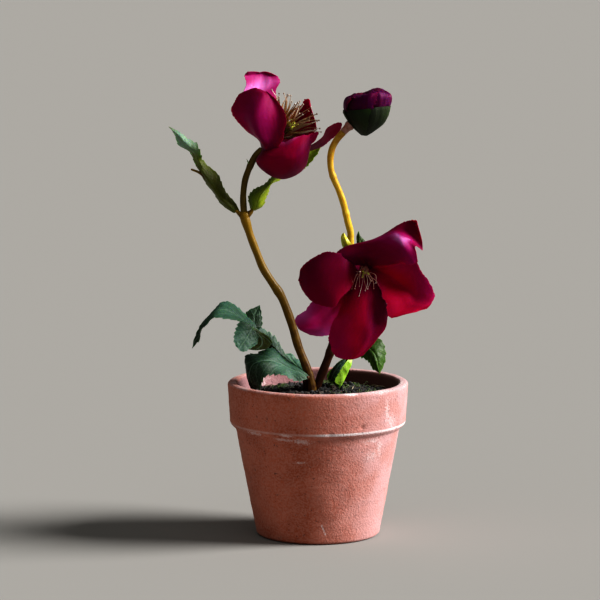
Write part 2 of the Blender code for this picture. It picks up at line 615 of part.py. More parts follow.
def make_soil():
    """The soil plug: fills the pot, lumpy on top, with a hole for every stem and petiole."""
    def lumpy(radius, height, angle):
        if height < SOIL_EDGE_HEIGHT:
            return radius, height
        place = Vector((radius * math.cos(angle), radius * math.sin(angle), 0.0))
        bump = noise.noise(place * 0.16) + 0.5 * noise.noise(place * 0.4)
        fade = 0.3 if height == SOIL_EDGE_HEIGHT else 1.0
        return radius, height + SOIL_BUMP * fade * bump

    edge = inner_wall_radius(SOIL_EDGE_HEIGHT) - GAP
    foot_height = FLOOR_HEIGHT + 2.5
    profile = [(0.0, foot_height), (inner_wall_radius(foot_height) - 1.0, foot_height)]
    for k in range(SOIL_RINGS, 0, -1):
        share = k / SOIL_RINGS
        profile.append((edge * share, SOIL_EDGE_HEIGHT + SOIL_MOUND * (1 - share * share)))
    profile.append((0.0, SOIL_EDGE_HEIGHT + SOIL_MOUND))
    plug = turned("soil", profile, SOIL_STEPS, lumpy)
    holes = [
        hole("left_hole", LEFT_STEM, STEM_RADIUS + HOLE_CLEARANCE, STEM_HOLE_DEPTH),
        hole("right_hole", RIGHT_STEM, STEM_RADIUS + HOLE_CLEARANCE, STEM_HOLE_DEPTH),
        hole("tall_leaf_hole", TALL_LEAF_PETIOLE, PETIOLE_RADIUS + HOLE_CLEARANCE, PETIOLE_HOLE_DEPTH),
        hole("low_leaf_hole", LOW_LEAF_PETIOLE, PETIOLE_RADIUS + HOLE_CLEARANCE, PETIOLE_HOLE_DEPTH),
        hole("lime_leaf_hole", LIME_LEAF_PETIOLE, PETIOLE_RADIUS + HOLE_CLEARANCE, PETIOLE_HOLE_DEPTH),
    ]
    return finish(combine("soil", [plug] + holes, "DIFFERENCE"), "soil")


def make_left_stem():
    """The left stem with its node, two short arms for the bracts and the flower stalk."""
    pieces = [
        tube("left_stem", LEFT_STEM, [STEM_RADIUS, STEM_RADIUS, STEM_TOP_RADIUS]),
        tube("flower_stalk", FLOWER_STALK, [STALK_RADIUS, STALK_RADIUS, STALK_RADIUS + 0.2]),
        ball("left_node", (-39.0, 0.0, 170.0), NODE_RADIUS, (0.95, 0.95, 1.15)),
        tube("left_arm", [(-39.0, 0.0, 169.0), (-40.2, -0.4, 170.2), (-41.7, -0.7, 171.2)], [1.7, 1.3]),
        tube("right_arm", [(-39.0, 0.0, 169.0), (-37.0, 0.3, 170.6), (-35.3, 0.6, 172.1)], [1.8, 1.4]),
    ]
    return finish(combine("stem_left", pieces), "olive_stem")


def make_right_stem():
    """The right stem with its node, the bud's stalk and the short stalk of the lower bloom."""
    pieces = [
        tube("right_stem", RIGHT_STEM, [STEM_RADIUS, STEM_RADIUS, STEM_TOP_RADIUS]),
        tube("bud_stalk", BUD_STALK, [STALK_RADIUS + 0.2, STALK_RADIUS, STALK_RADIUS, STALK_RADIUS + 0.1]),
        tube("pedicel", PEDICEL, [STALK_RADIUS, STALK_RADIUS]),
        ball("right_node", (17.0, 0.0, 152.8), NODE_RADIUS, (0.95, 0.95, 1.2)),
    ]
    return finish(combine("stem_right", pieces), "brown_stem")


def make_leaves():
    """Leaves and bracts, each a node of its own, with the lobes of one leaf fused."""
    tall = [
        leaf("arching_lobe", ARCHING_LOBE),
        leaf("upright_lobe", UPRIGHT_LOBE),
        leaf("hanging_lobe", HANGING_LOBE),
        leaf("back_lobe", BACK_LOBE),
        tube("tall_leaf_petiole", TALL_LEAF_PETIOLE, [PETIOLE_RADIUS, PETIOLE_RADIUS]),
    ]
    finish(combine("leaf_tall", tall), "leaf_green")
    low = [
        leaf("low_blade", LOW_LEAF),
        tube("low_leaf_petiole", LOW_LEAF_PETIOLE, [PETIOLE_RADIUS, PETIOLE_RADIUS]),
    ]
    finish(combine("leaf_low", low), "leaf_green")
    lime = [
        blade("lime_blade", LIME_LEAF, LEAF_THICKNESS, PETAL_ALONG, ROLLED_LEAF_ACROSS),
        tube("lime_leaf_petiole", LIME_LEAF_PETIOLE, [PETIOLE_RADIUS, PETIOLE_RADIUS]),
    ]
    finish(combine("leaf_lime", lime), "lime_green")
    right = [
        leaf("right_blade", RIGHT_LEAF),
        tube("right_leaf_petiole", RIGHT_LEAF_PETIOLE, [PETIOLE_RADIUS, 0.8]),
    ]
    finish(combine("leaf_right", right), "leaf_green")
    left_bract = [leaf("left_bract_blade", LEFT_BRACT), tube("bract_twig", BRACT_TWIG, [0.7, 0.5])]
    finish(combine("bract_left", left_bract), "leaf_green")
    finish(leaf("bract_right", RIGHT_BRACT), "leaf_green")
    finish(blade("bract_dark", DARK_BRACT, LEAF_THICKNESS, SMALL_BLADE_ALONG, LEAF_ACROSS), "leaf_green")
    finish(blade("sprout", SPROUT, LEAF_THICKNESS, SMALL_BLADE_ALONG, LEAF_ACROSS), "sprout_yellow")


def make_bloom(name, heart, petals):
    """One bloom: its petals fused to the small heart that they grow from."""
    pieces = [ball(name + "_heart", heart, HEART_RADIUS)]
    for k, rows in enumerate(petals):
        pieces.append(blade(f"{name}_petal_{k}", rows, PETAL_THICKNESS))
    return finish(combine(name, pieces, "UNION", "MANIFOLD"), "crimson_satin")


def make_stamens(name, heart, axis, count, length, spread, droop):
    """A brush of filaments with anthers on a small dome, in a cone round the bloom's axis.

    spread gives how far the cone opens in the picture's plane and across it, in degrees,
    and droop pulls every tip down, in millimetres.
    """
    draw = random.Random(SEED)
    ahead = Vector(axis).normalized()
    side = ahead.cross(Vector((0, 1, 0))) if abs(ahead.y) < 0.5 else Vector((1, 0, 0))
    side.normalize()
    over = ahead.cross(side)
    root = Vector(heart) + ahead * (HEART_RADIUS + DOME_RADIUS)
    pieces = [ball(name + "_dome", root, DOME_RADIUS - GAP)]
    for k in range(count):
        angle = GOLDEN_ANGLE * k
        reach = math.sqrt((k + 0.5) / count)
        lean = side * (math.tan(math.radians(spread[0])) * reach * math.cos(angle))
        lean += over * (math.tan(math.radians(spread[1])) * reach * math.sin(angle))
        size = length * draw.uniform(0.8, 1.06)
        tip = root + (ahead + lean).normalized() * size - Vector((0, 0, droop))
        middle = root.lerp(tip, 0.5) + ahead * (0.08 * size) + Vector((0, 0, 0.3 * droop))
        radii = [FILAMENT_RADIUS, FILAMENT_RADIUS]
        pieces.append(tube(f"{name}_filament_{k}", [root, middle, tip], radii, FILAMENT_ROUNDNESS))
        pieces.append(ball(f"{name}_anther_{k}", tip, ANTHER_RADIUS, (1.0, 0.8, 1.0), 1))
    return finish(combine(name, pieces, "UNION", "MANIFOLD"), "filament_tan")


def folded(amount, ruffle, lean):
    """A ring shape with one overlapping fold for each petal and a ruffled, leaning crown."""
    def shape(radius, height, angle):
        turn = angle * BUD_FOLDS / (2 * math.pi) % 1.0
        step = turn if turn < FOLD_STEP else (1.0 - turn) * FOLD_STEP / (1.0 - FOLD_STEP)
        lift = ruffle * math.sin(5 * angle + 0.6) + 0.6 * ruffle * math.sin(9 * angle) + lean * math.cos(angle)
        share = max(0.0, (height - CROWN_START) / CROWN_RISE)
        return radius * (1.0 - amount + 1.6 * amount * step), height + lift * share

    return shape


def make_bud():
    """The bud: a calyx cup of folded sepals, crinkled petals above it and its clear collar."""
    place = Matrix.Translation(Vector(BUD_FOOT) * MM) @ Matrix.Rotation(math.radians(BUD_TILT), 4, "Y")
    calyx = turned("bud_calyx", CALYX_PROFILE, BUD_STEPS, folded(CALYX_FOLD, 0.0, 0.0))
    petals = turned("bud_petals", BUD_PETAL_PROFILE, BUD_STEPS, folded(PETAL_FOLD, CROWN_RUFFLE, CROWN_LEAN))
    for thing in (calyx, petals):
        thing.data.transform(place)
    finish(calyx, "calyx_green")
    finish(petals, "bud_purple")
    finish(tube("bud_collar", COLLAR, COLLAR_RADII), "clear_collar")


def main():
    clear_scene()
    make_pot()
    make_soil()
    make_left_stem()
    make_right_stem()
    make_leaves()
    upper = [FRONT_PETAL, BACK_PETAL, CUPPED_PETAL, BACK_RIGHT_PETAL, TWISTED_PETAL]
    lower = [LEFT_PETAL, LOWER_LEFT_PETAL, BOTTOM_PETAL, RIGHT_PETAL, TOP_PETAL]
    make_bloom("bloom_upper", UPPER_HEART, upper)
    make_bloom("bloom_lower", LOWER_HEART, lower)
    make_stamens("stamens_upper", UPPER_HEART, UPPER_AXIS, **UPPER_BRUSH)
    make_stamens("stamens_lower", LOWER_HEART, LOWER_AXIS, **LOWER_BRUSH)
    make_bud()


main()
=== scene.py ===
# %% [markdown]
# # A potted hellebore, dressed over its solid frame
#
# The object is an artificial hellebore: petals of crimson satin, leaves of moulded cloth, stems of plastic
# over wire, and a real terracotta pot with dark soil. The solid model already has every piece in its place.
# This lesson builds a finer skin for each one and gives it a finish made only of shader nodes.

# %% Load the frame
import math

import bmesh
import bpy
import numpy as np
from mathutils import Matrix, Vector


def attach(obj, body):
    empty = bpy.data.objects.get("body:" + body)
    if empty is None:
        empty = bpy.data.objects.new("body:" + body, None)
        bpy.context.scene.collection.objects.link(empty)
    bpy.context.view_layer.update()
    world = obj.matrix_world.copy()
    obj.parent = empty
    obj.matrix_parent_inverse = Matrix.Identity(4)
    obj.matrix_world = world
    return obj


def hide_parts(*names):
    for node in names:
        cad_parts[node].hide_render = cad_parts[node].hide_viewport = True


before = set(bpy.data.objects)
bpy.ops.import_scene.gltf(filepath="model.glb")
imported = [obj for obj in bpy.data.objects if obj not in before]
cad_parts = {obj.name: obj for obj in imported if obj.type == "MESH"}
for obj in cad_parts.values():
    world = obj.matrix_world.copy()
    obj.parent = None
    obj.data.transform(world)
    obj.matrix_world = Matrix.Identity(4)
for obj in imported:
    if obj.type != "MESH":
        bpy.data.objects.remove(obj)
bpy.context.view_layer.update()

MM = 0.001
scene = bpy.context.scene
print("CAD nodes:", ", ".join(sorted(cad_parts)))

# %% [markdown]
# ## Camera
#
# A small plant is photographed from some way off, so that its near and far parts keep their sizes. A long
# lens does the same here: 180 mm from a metre and a half away, tilted down a little so that the soil shows.

# %% Camera
CAMERA_PLACE = (-0.0096, -1.573, 0.334)
CAMERA_TILT_DOWN = 7.56

camera_data = bpy.data.cameras.new("camera")
camera_data.lens = 180.0
camera_data.sensor_width = 36.0
camera = bpy.data.objects.new("camera", camera_data)
camera.location = CAMERA_PLACE
camera.rotation_euler = (math.radians(90.0 - CAMERA_TILT_DOWN), 0.0, 0.0)
scene.collection.objects.link(camera)
scene.camera = camera
print("camera at", CAMERA_PLACE)

# %% [markdown]
# ## Light
#
# A window far round to the right lights the real plant, low and soft, and leaves its left side in shade. A sun
# lamp with a wide angle gives that soft edge and lights the floor evenly. A second, weak one stands for the
# bright wall at the left, and a pale world fills the shadows. The picture gets the strong contrast of the real
# one from the view settings.

# %% Light
WINDOW = {"azimuth": 87.0, "height": 31.0, "strength": 6.2, "colour": (1.0, 0.98, 0.96), "softness": 28.0}
BRIGHT_WALL = {"azimuth": -20.0, "height": 50.0, "strength": 0.34, "colour": (1.0, 0.97, 0.92), "softness": 80.0}
ROOM_COLOUR = (0.90, 0.90, 0.88, 1.0)
ROOM_STRENGTH = 0.12

def aim_sun(name, azimuth, height, strength, colour, softness):
    """A sun lamp that shines from an azimuth, counted from the camera's side towards the right."""
    lamp = bpy.data.lights.new(name, "SUN")
    lamp.energy = strength
    lamp.color = colour
    lamp.angle = math.radians(softness)
    thing = bpy.data.objects.new(name, lamp)
    a, e = math.radians(azimuth), math.radians(height)
    towards = Vector((math.sin(a) * math.cos(e), -math.cos(a) * math.cos(e), math.sin(e)))
    thing.rotation_euler = (-towards).to_track_quat("-Z", "Y").to_euler()
    scene.collection.objects.link(thing)

aim_sun("window", **WINDOW)
aim_sun("bright_wall", **BRIGHT_WALL)

world = bpy.data.worlds.new("room")
world.use_nodes = True
backdrop = world.node_tree.nodes["Background"]
backdrop.inputs["Color"].default_value = ROOM_COLOUR
backdrop.inputs["Strength"].default_value = ROOM_STRENGTH
scene.world = world
scene.view_settings.view_transform = "Standard"
scene.view_settings.look = "High Contrast"

# %% [markdown]
# ## Node helpers
#
# Every finish below is a small network of shader nodes. A few helpers keep them readable: one adds a node
# and feeds its sockets, one does sums, one makes a soft step between two values, and two mix colours.

# %% Node helpers
def add_node(tree, kind, feed=None, **settings):
    """Add a node; feed maps socket names or numbers to plain values or to other sockets."""
    made = tree.nodes.new(kind)
    for name, value in settings.items():
        setattr(made, name, value)
    for key, value in (feed or {}).items():
        if isinstance(value, bpy.types.NodeSocket):
            tree.links.new(value, made.inputs[key])
        else:
            made.inputs[key].default_value = value
    return made

def reckon(tree, operation, *values):
    """One sum with a Math node."""
    return add_node(tree, "ShaderNodeMath", dict(enumerate(values)), operation=operation).outputs[0]

def soft_step(tree, value, low, high):
    """0 below low, 1 above high and smooth between them; with low above high it runs the other way."""
    feed = {"Value": value, "From Min": low, "From Max": high, "To Min": 0.0, "To Max": 1.0}
    made = add_node(tree, "ShaderNodeMapRange", feed, interpolation_type="SMOOTHSTEP")
    return made.outputs["Result"]

def mix_colour(tree, share, first, second):
    """Mix two colours; a plain colour is given as red, green, blue."""
    first, second = (c if isinstance(c, bpy.types.NodeSocket) else (*c, 1.0) for c in (first, second))
    return add_node(tree, "ShaderNodeMix", {0: share, 6: first, 7: second}, data_type="RGBA").outputs[2]

def lay_over(tree, colour, mask, strength, paint):
    """Lay another colour over the first one where the mask is white, up to a strength."""
    return mix_colour(tree, reckon(tree, "MULTIPLY", mask, strength), colour, paint)

print("helpers ready: add_node, reckon, soft_step, mix_colour, lay_over")

# %% [markdown]
# ## Effects that several finishes share
#
# Grain, worn patches, satin threads, veins and frayed margins turn up on more than one piece. Each is built
# once as a node group with named inputs, and every material then places it with its own values.

# %% Group maker
def new_group(name, takes, gives):
    """An empty group: takes maps input names to defaults, gives lists the outputs' names."""
    group = bpy.data.node_groups.new(name, "ShaderNodeTree")
    for label, value in takes.items():
        kind = "NodeSocketVector" if isinstance(value, tuple) else "NodeSocketFloat"
        socket = group.interface.new_socket(name=label, in_out="INPUT", socket_type=kind)
        socket.default_value = value
    for label in gives:
        group.interface.new_socket(name=label, in_out="OUTPUT", socket_type="NodeSocketFloat")
    inside = group.nodes.new("NodeGroupInput").outputs
    outside = group.nodes.new("NodeGroupOutput").inputs
    return group, inside, outside

def use_group(tree, group, **feed):
    """Place a group; an underscore in a keyword stands for a space in the socket's name."""
    feed = {key.replace("_", " "): value for key, value in feed.items()}
    return add_node(tree, "ShaderNodeGroup", feed, node_tree=group).outputs

print("helpers ready: new_group, use_group")

# %% Group: grain
grain, inside, outside = new_group(
    "grain", {"Place": (0.0, 0.0, 0.0), "Size": 1.0, "Contrast": 0.5}, ["Mask", "Height"]
)
scale = reckon(grain, "DIVIDE", 1.0, inside["Size"])
speck = add_node(
    grain, "ShaderNodeTexNoise", {"Vector": inside["Place"], "Scale": scale, "Detail": 3.0, "Roughness": 0.6}
)
half_width = reckon(grain, "SUBTRACT", 0.5, reckon(grain, "MULTIPLY", inside["Contrast"], 0.45))
low_end = reckon(grain, "SUBTRACT", 0.5, half_width)
high_end = reckon(grain, "ADD", 0.5, half_width)
grain.links.new(soft_step(grain, speck.outputs[0], low_end, high_end), outside["Mask"])
grain.links.new(speck.outputs[0], outside["Height"])
print("group:", grain.name)

# %% Group: worn patch
worn_patch, inside, outside = new_group(
    "worn_patch",
    {"Place": (0.0, 0.0, 0.0), "Centre": (0.0, 0.0, 0.0), "Reach": (5.0, 5.0, 5.0), "Ragged": 0.5, "Grain Size": 2.0},
    ["Mask"],
)
apart = add_node(
    worn_patch, "ShaderNodeVectorMath", {0: inside["Place"], 1: inside["Centre"]}, operation="SUBTRACT"
)
scaled = add_node(
    worn_patch, "ShaderNodeVectorMath", {0: apart.outputs[0], 1: inside["Reach"]}, operation="DIVIDE"
)
reach = add_node(worn_patch, "ShaderNodeVectorMath", {0: scaled.outputs[0]}, operation="LENGTH").outputs["Value"]
fine = reckon(worn_patch, "DIVIDE", 1.0, inside["Grain Size"])
torn = add_node(
    worn_patch, "ShaderNodeTexNoise", {"Vector": inside["Place"], "Scale": fine, "Detail": 4.0, "Roughness": 0.65}
)
push = reckon(worn_patch, "MULTIPLY", reckon(worn_patch, "SUBTRACT", torn.outputs[0], 0.5), inside["Ragged"])
edge = reckon(worn_patch, "ADD", reach, reckon(worn_patch, "MULTIPLY", push, 6.0))
worn_patch.links.new(soft_step(worn_patch, edge, 1.0, 0.55), outside["Mask"])
print("group:", worn_patch.name)

# %% Group: satin threads
satin_threads, inside, outside = new_group(
    "satin_threads", {"Across": 0.0, "Along": 0.0, "Pitch": 0.3, "Pleat": 2.5}, ["Height", "Pleat"]
)
turn = reckon(satin_threads, "DIVIDE", math.tau, inside["Pitch"])
warp = reckon(satin_threads, "SINE", reckon(satin_threads, "MULTIPLY", inside["Across"], turn))
weft = reckon(satin_threads, "SINE", reckon(satin_threads, "MULTIPLY", inside["Along"], turn))
shortened = reckon(satin_threads, "MULTIPLY", inside["Along"], 0.16)
stretched = add_node(satin_threads, "ShaderNodeCombineXYZ", {0: inside["Across"], 1: shortened}).outputs[0]
fine = reckon(satin_threads, "DIVIDE", 1.0, inside["Pleat"])
pleat = add_node(
    satin_threads, "ShaderNodeTexNoise", {"Vector": stretched, "Scale": fine, "Detail": 3.0, "Roughness": 0.55}
)
cloth = reckon(satin_threads, "MULTIPLY", reckon(satin_threads, "ADD", warp, weft), 0.06)
satin_threads.links.new(reckon(satin_threads, "ADD", cloth, pleat.outputs[0]), outside["Height"])
satin_threads.links.new(pleat.outputs[0], outside["Pleat"])
print("group:", satin_threads.name)

# %% Group: leaf veins
leaf_veins, inside, outside = new_group(
    "leaf_veins", {"Across": 0.0, "Along": 0.0, "Pitch": 7.0, "Slant": 1.1, "Width": 0.35}, ["Mask", "Network"]
)
ground = add_node(leaf_veins, "ShaderNodeCombineXYZ", {0: inside["Across"], 1: inside["Along"]})
outwards = reckon(leaf_veins, "ABSOLUTE", inside["Across"])
swept_back = reckon(leaf_veins, "SUBTRACT", inside["Along"], reckon(leaf_veins, "MULTIPLY", outwards, inside["Slant"]))
lateral = reckon(leaf_veins, "DIVIDE", swept_back, inside["Pitch"])
to_vein = reckon(leaf_veins, "MULTIPLY", reckon(leaf_veins, "PINGPONG", lateral, 0.5), inside["Pitch"])
side_vein = soft_step(leaf_veins, to_vein, inside["Width"], 0.0)
midrib = soft_step(leaf_veins, outwards, reckon(leaf_veins, "MULTIPLY", inside["Width"], 1.8), 0.0)
mesh_veins = add_node(
    leaf_veins, "ShaderNodeTexVoronoi", {"Vector": ground.outputs[0], "Scale": 0.55}, feature="DISTANCE_TO_EDGE"
)
network = soft_step(leaf_veins, mesh_veins.outputs["Distance"], 0.10, 0.0)
pressed_in = reckon(leaf_veins, "MAXIMUM", reckon(leaf_veins, "MULTIPLY", side_vein, 0.75), midrib)
leaf_veins.links.new(pressed_in, outside["Mask"])
leaf_veins.links.new(network, outside["Network"])
print("group:", leaf_veins.name)

# %% Group: frayed margin
frayed_margin, inside, outside = new_group(
    "frayed_margin", {"Place": (0.0, 0.0, 0.0), "Edge": 5.0, "Width": 0.5, "Ragged": 0.5}, ["Mask"]
)
torn = add_node(frayed_margin, "ShaderNodeTexNoise", {"Vector": inside["Place"], "Scale": 1.4, "Detail": 3.0})
push = reckon(frayed_margin, "MULTIPLY", reckon(frayed_margin, "SUBTRACT", torn.outputs[0], 0.5), inside["Ragged"])
edge = reckon(frayed_margin, "ADD", inside["Edge"], reckon(frayed_margin, "MULTIPLY", push, 4.0))
frayed_margin.links.new(soft_step(frayed_margin, edge, inside["Width"], 0.0), outside["Mask"])
print("group:", frayed_margin.name)

# %% [markdown]
# ## Reading the surface
#
# Each sheet and stem that is built below carries two attributes. "blade" holds distances in millimetres:
# across from the middle line, along from the root, and in from the margin. "tint" holds which face it is,
# the share of the length, and a tone from 0 to 1 that tells one petal or leaf from its neighbour. On petals,
# leaves and sepals the tone also paints light and shade across the surface.

# %% Surface reader
def new_material(name):
    """A material with its Principled shader, the surface's readings and the place in millimetres."""
    material = bpy.data.materials.new(name)
    material.use_nodes = True
    tree = material.node_tree
    shader = tree.nodes["Principled BSDF"]
    blade = add_node(tree, "ShaderNodeAttribute", attribute_name="blade")
    blade = add_node(tree, "ShaderNodeSeparateXYZ", {0: blade.outputs["Vector"]}).outputs
    tint = add_node(tree, "ShaderNodeAttribute", attribute_name="tint")
    tint = add_node(tree, "ShaderNodeSeparateXYZ", {0: tint.outputs["Vector"]}).outputs
    spot = add_node(tree, "ShaderNodeTexCoord").outputs["Object"]
    place = add_node(tree, "ShaderNodeVectorMath", {0: spot, "Scale": 1.0 / MM}, operation="SCALE").outputs[0]
    read = {
        "across": blade[0], "along": blade[1], "edge": blade[2],
        "side": tint[0], "share": tint[1], "tone": tint[2], "place": place,
    }
    return material, tree, shader, read

def set_shader(shader, **values):
    """Set plain values on the shader's own sockets."""
    for key, value in values.items():
        shader.inputs[key.replace("_", " ")].default_value = value

def drive(tree, shader, colour, roughness=None, height=None, strength=0.5, distance=0.0002):
    """Link what changes over the surface: colour, roughness and the height that a Bump node reads."""
    tree.links.new(colour, shader.inputs["Base Color"])
    if roughness is not None:
        tree.links.new(roughness, shader.inputs["Roughness"])
    if height is not None:
        bump = add_node(tree, "ShaderNodeBump", {"Strength": strength, "Distance": distance, "Height": height})
        tree.links.new(bump.outputs[0], shader.inputs["Normal"])

def grains(tree, read, size, contrast):
    """The grain group, read at the surface's own place; its grains are about size millimetres wide."""
    return use_group(tree, grain, Place=read["place"], Size=size, Contrast=contrast)

print("helpers ready: new_material, set_shader, drive, grains")

# %% [markdown]
# ## Terracotta
#
# Fired clay is matt and sandy. Its colour wanders between brick red and salmon, dark pits and pale grains
# sit in it, and lime from old water dries to a whitish bloom on its edges. The patches stand where they do
# on the real pot: on the lip, down the collar's right side, and along the collar's lower edge, where a thin
# pale line, stronger on the right, is a painted highlight. Painted light pales the side that the window
# lights, and painted shade darkens the inner wall on the right.

# %% Terracotta
LIME_PATCHES = [
    ((16.4, -42.6, 81.8), (4.6, 3.2, 1.1), 0.22, 1.4, 1.10),
    ((36.0, -30.5, 70.5), (1.2, 4.0, 7.0), 0.95, 0.8, 0.36),
    ((38.0, -27.5, 65.0), (2.6, 4.5, 3.4), 0.98, 0.8, 0.32),
    ((33.0, -33.0, 81.6), (9.0, 7.0, 1.2), 0.98, 0.8, 0.42),
    ((43.0, -8.0, 81.0), (3.5, 12.0, 2.0), 0.60, 1.6, 0.40),
    ((28.5, -32.0, 55.5), (5.5, 5.0, 1.3), 0.95, 0.8, 0.34),
    ((32.0, -28.5, 50.5), (1.4, 4.0, 6.0), 0.98, 0.8, 0.34),
    ((28.0, -31.5, 47.0), (3.5, 5.0, 3.0), 0.99, 0.8, 0.28),
    ((-8.5, -43.0, 56.5), (5.5, 3.0, 1.9), 0.55, 1.3, 0.42),
    ((-17.0, -42.5, 60.0), (4.5, 3.0, 1.0), 0.45, 1.2, 0.50),
    ((-19.0, -41.0, 57.2), (8.0, 5.0, 0.9), 0.75, 1.1, 0.45),
    ((1.8, -35.0, 10.6), (0.55, 3.0, 1.2), 0.05, 1.3, 0.60),
    ((2.4, -35.0, 9.1), (0.60, 3.0, 1.2), 0.05, 1.3, 0.60),
    ((3.0, -35.0, 7.7), (0.60, 3.0, 1.2), 0.05, 1.3, 0.60),
    ((3.6, -35.0, 6.2), (0.55, 3.0, 1.2), 0.05, 1.3, 0.60),
    ((-9.6, -40.0, 45.2), (3.5, 3.0, 0.7), 0.60, 1.0, 0.40),
    ((-34.0, -31.0, 59.0), (7.0, 6.0, 1.2), 0.65, 1.3, 0.40),
    ((-33.0, 28.0, 79.0), (7.0, 7.0, 4.0), 0.75, 1.8, 0.40),
    ((12.0, 44.0, 57.0), (9.0, 4.0, 4.0), 0.75, 1.8, 0.40),
    ((44.0, 12.0, 30.0), (8.0, 6.0, 9.0), 0.75, 2.2, 0.35),
]
COLLAR_EDGE_HEIGHT = 60.6
LIP_HEIGHTS = (80.8, 81.9)
INSIDE_RADII = (43.6, 42.4)
INSIDE_HEIGHTS = (62.0, 66.0)
PIT_DEPTHS = (0.345, 0.30)

terracotta, tree, shader, read = new_material("terracotta_clay")
sand = grains(tree, read, 1.05, 0.85)
clouds = grains(tree, read, 19.0, 0.8)
stains = grains(tree, read, 7.0, 0.75)
pits = grains(tree, read, 1.7, 0.6)
clay = mix_colour(tree, clouds["Mask"], (0.41, 0.102, 0.046), (0.53, 0.160, 0.090))
clay = lay_over(tree, clay, stains["Mask"], 0.35, (0.49, 0.180, 0.120))
clay = lay_over(tree, clay, sand["Mask"], 0.42, (0.60, 0.30, 0.24))
dark = soft_step(tree, pits["Height"], *PIT_DEPTHS)
clay = lay_over(tree, clay, dark, 0.6, (0.15, 0.045, 0.03))
spot = add_node(tree, "ShaderNodeSeparateXYZ", {0: read["place"]}).outputs
# Painted light: the right side, which the window lights, is mixed towards a pale pink.
lit_side = soft_step(tree, spot[0], -12.0, 44.0)
cloudy = reckon(tree, "ADD", 0.44, reckon(tree, "MULTIPLY", clouds["Mask"], 0.30))
haze_and_painted_light = reckon(tree, "MULTIPLY", lit_side, cloudy)
clay = mix_colour(tree, haze_and_painted_light, clay, (0.52, 0.36, 0.39))
lip = soft_step(tree, spot[2], *LIP_HEIGHTS)
stained = reckon(tree, "ADD", 0.25, reckon(tree, "MULTIPLY", stains["Mask"], 0.4))
on_lip = reckon(tree, "MULTIPLY", lip, stained)
clay = mix_colour(tree, on_lip, clay, (0.54, 0.41, 0.43))
flat = add_node(tree, "ShaderNodeCombineXYZ", {0: spot[0], 1: spot[1]})
outwards = add_node(tree, "ShaderNodeVectorMath", {0: flat.outputs[0]}, operation="LENGTH").outputs["Value"]
within = soft_step(tree, outwards, *INSIDE_RADII)
inside_wall = reckon(tree, "MULTIPLY", within, soft_step(tree, spot[2], *INSIDE_HEIGHTS))
clay = lay_over(tree, clay, inside_wall, 0.80, (0.33, 0.205, 0.230))
# Painted shade: the inner wall on the right, which the window does not reach, is darkened.
painted_shade_inner_wall = reckon(tree, "MULTIPLY", inside_wall, soft_step(tree, spot[0], -12.0, 16.0))
clay = lay_over(tree, clay, painted_shade_inner_wall, 0.86, (0.12, 0.042, 0.030))
# Painted highlight: a thin pale line along the collar's lower edge, broken in places, stronger on the lit right.
from_edge = reckon(tree, "ABSOLUTE", reckon(tree, "SUBTRACT", spot[2], COLLAR_EDGE_HEIGHT))
painted_highlight_line = soft_step(tree, from_edge, 1.0, 0.15)
line_breaks = grains(tree, read, 12.0, 0.5)
rightwards = soft_step(tree, spot[0], -10.0, 8.0)
line_side = reckon(tree, "ADD", 0.22, rightwards)
painted_highlight_line = reckon(tree, "MULTIPLY", painted_highlight_line, line_side)
lime_and_painted_highlight = reckon(tree, "MULTIPLY", painted_highlight_line, reckon(tree, "ADD", 0.55, line_breaks["Mask"]))
# The lime patches then join the painted highlight line in one pale mix.
powder = grains(tree, read, 1.1, 0.6)
for centre, reach, ragged, size, strength in LIME_PATCHES:
    patch = use_group(
        tree, worn_patch, Place=read["place"], Centre=centre, Reach=reach, Ragged=ragged, Grain_Size=size
    )
    dusty = reckon(tree, "ADD", 0.5 * strength, reckon(tree, "MULTIPLY", powder["Mask"], strength))
    lime = reckon(tree, "MULTIPLY", patch["Mask"], dusty)
    lime_and_painted_highlight = reckon(tree, "MAXIMUM", lime_and_painted_highlight, lime)
clay = mix_colour(tree, reckon(tree, "MINIMUM", lime_and_painted_highlight, 0.94), clay, (0.78, 0.69, 0.70))
rough = reckon(tree, "ADD", 0.80, reckon(tree, "MULTIPLY", sand["Mask"], 0.12))
relief = reckon(tree, "ADD", sand["Height"], reckon(tree, "MULTIPLY", dark, -0.8))
drive(tree, shader, clay, rough, relief, 1.0, 0.00050)
set_shader(
    shader, Specular_IOR_Level=0.35, Diffuse_Roughness=0.4, Sheen_Weight=0.10, Sheen_Roughness=0.5,
    Sheen_Tint=(1.0, 0.80, 0.76, 1.0),
)
print("material:", terracotta.name, "with", len(LIME_PATCHES), "patches of lime")

# %% [markdown]
# ## Satin petals
#
# The petals are cut from a dyed cloth with a dull satin face. In the shade it is nearly black, light that comes
# through it is blood red, and light that falls on its face turns magenta and pink. So the finish runs through five
# colours by the tone of the surface, and the tone paints that shade, glow and lit face onto each petal: deep,
# crimson, red, magenta and rose. The highlight is weak, wide and tinted, a little subsurface lets the lamp glow
# through, and the cut margin shows short pale threads. Four colourings share this finish: crimson for the lower
# bloom, magenta, a copy with painted lit colours, for the petals that the window lights most, wine red for the
# upper bloom's cup, and a dark purple for the bud.

# %% Satin finish
def tones_through(tree, tone, colours):
    """A colour that runs through the list as the tone goes from 0 to 1."""
    colour, step = colours[0], 1.0 / (len(colours) - 1)
    for k, following in enumerate(colours[1:]):
        colour = mix_colour(tree, soft_step(tree, tone, k * step, (k + 1) * step), colour, following)
    return colour

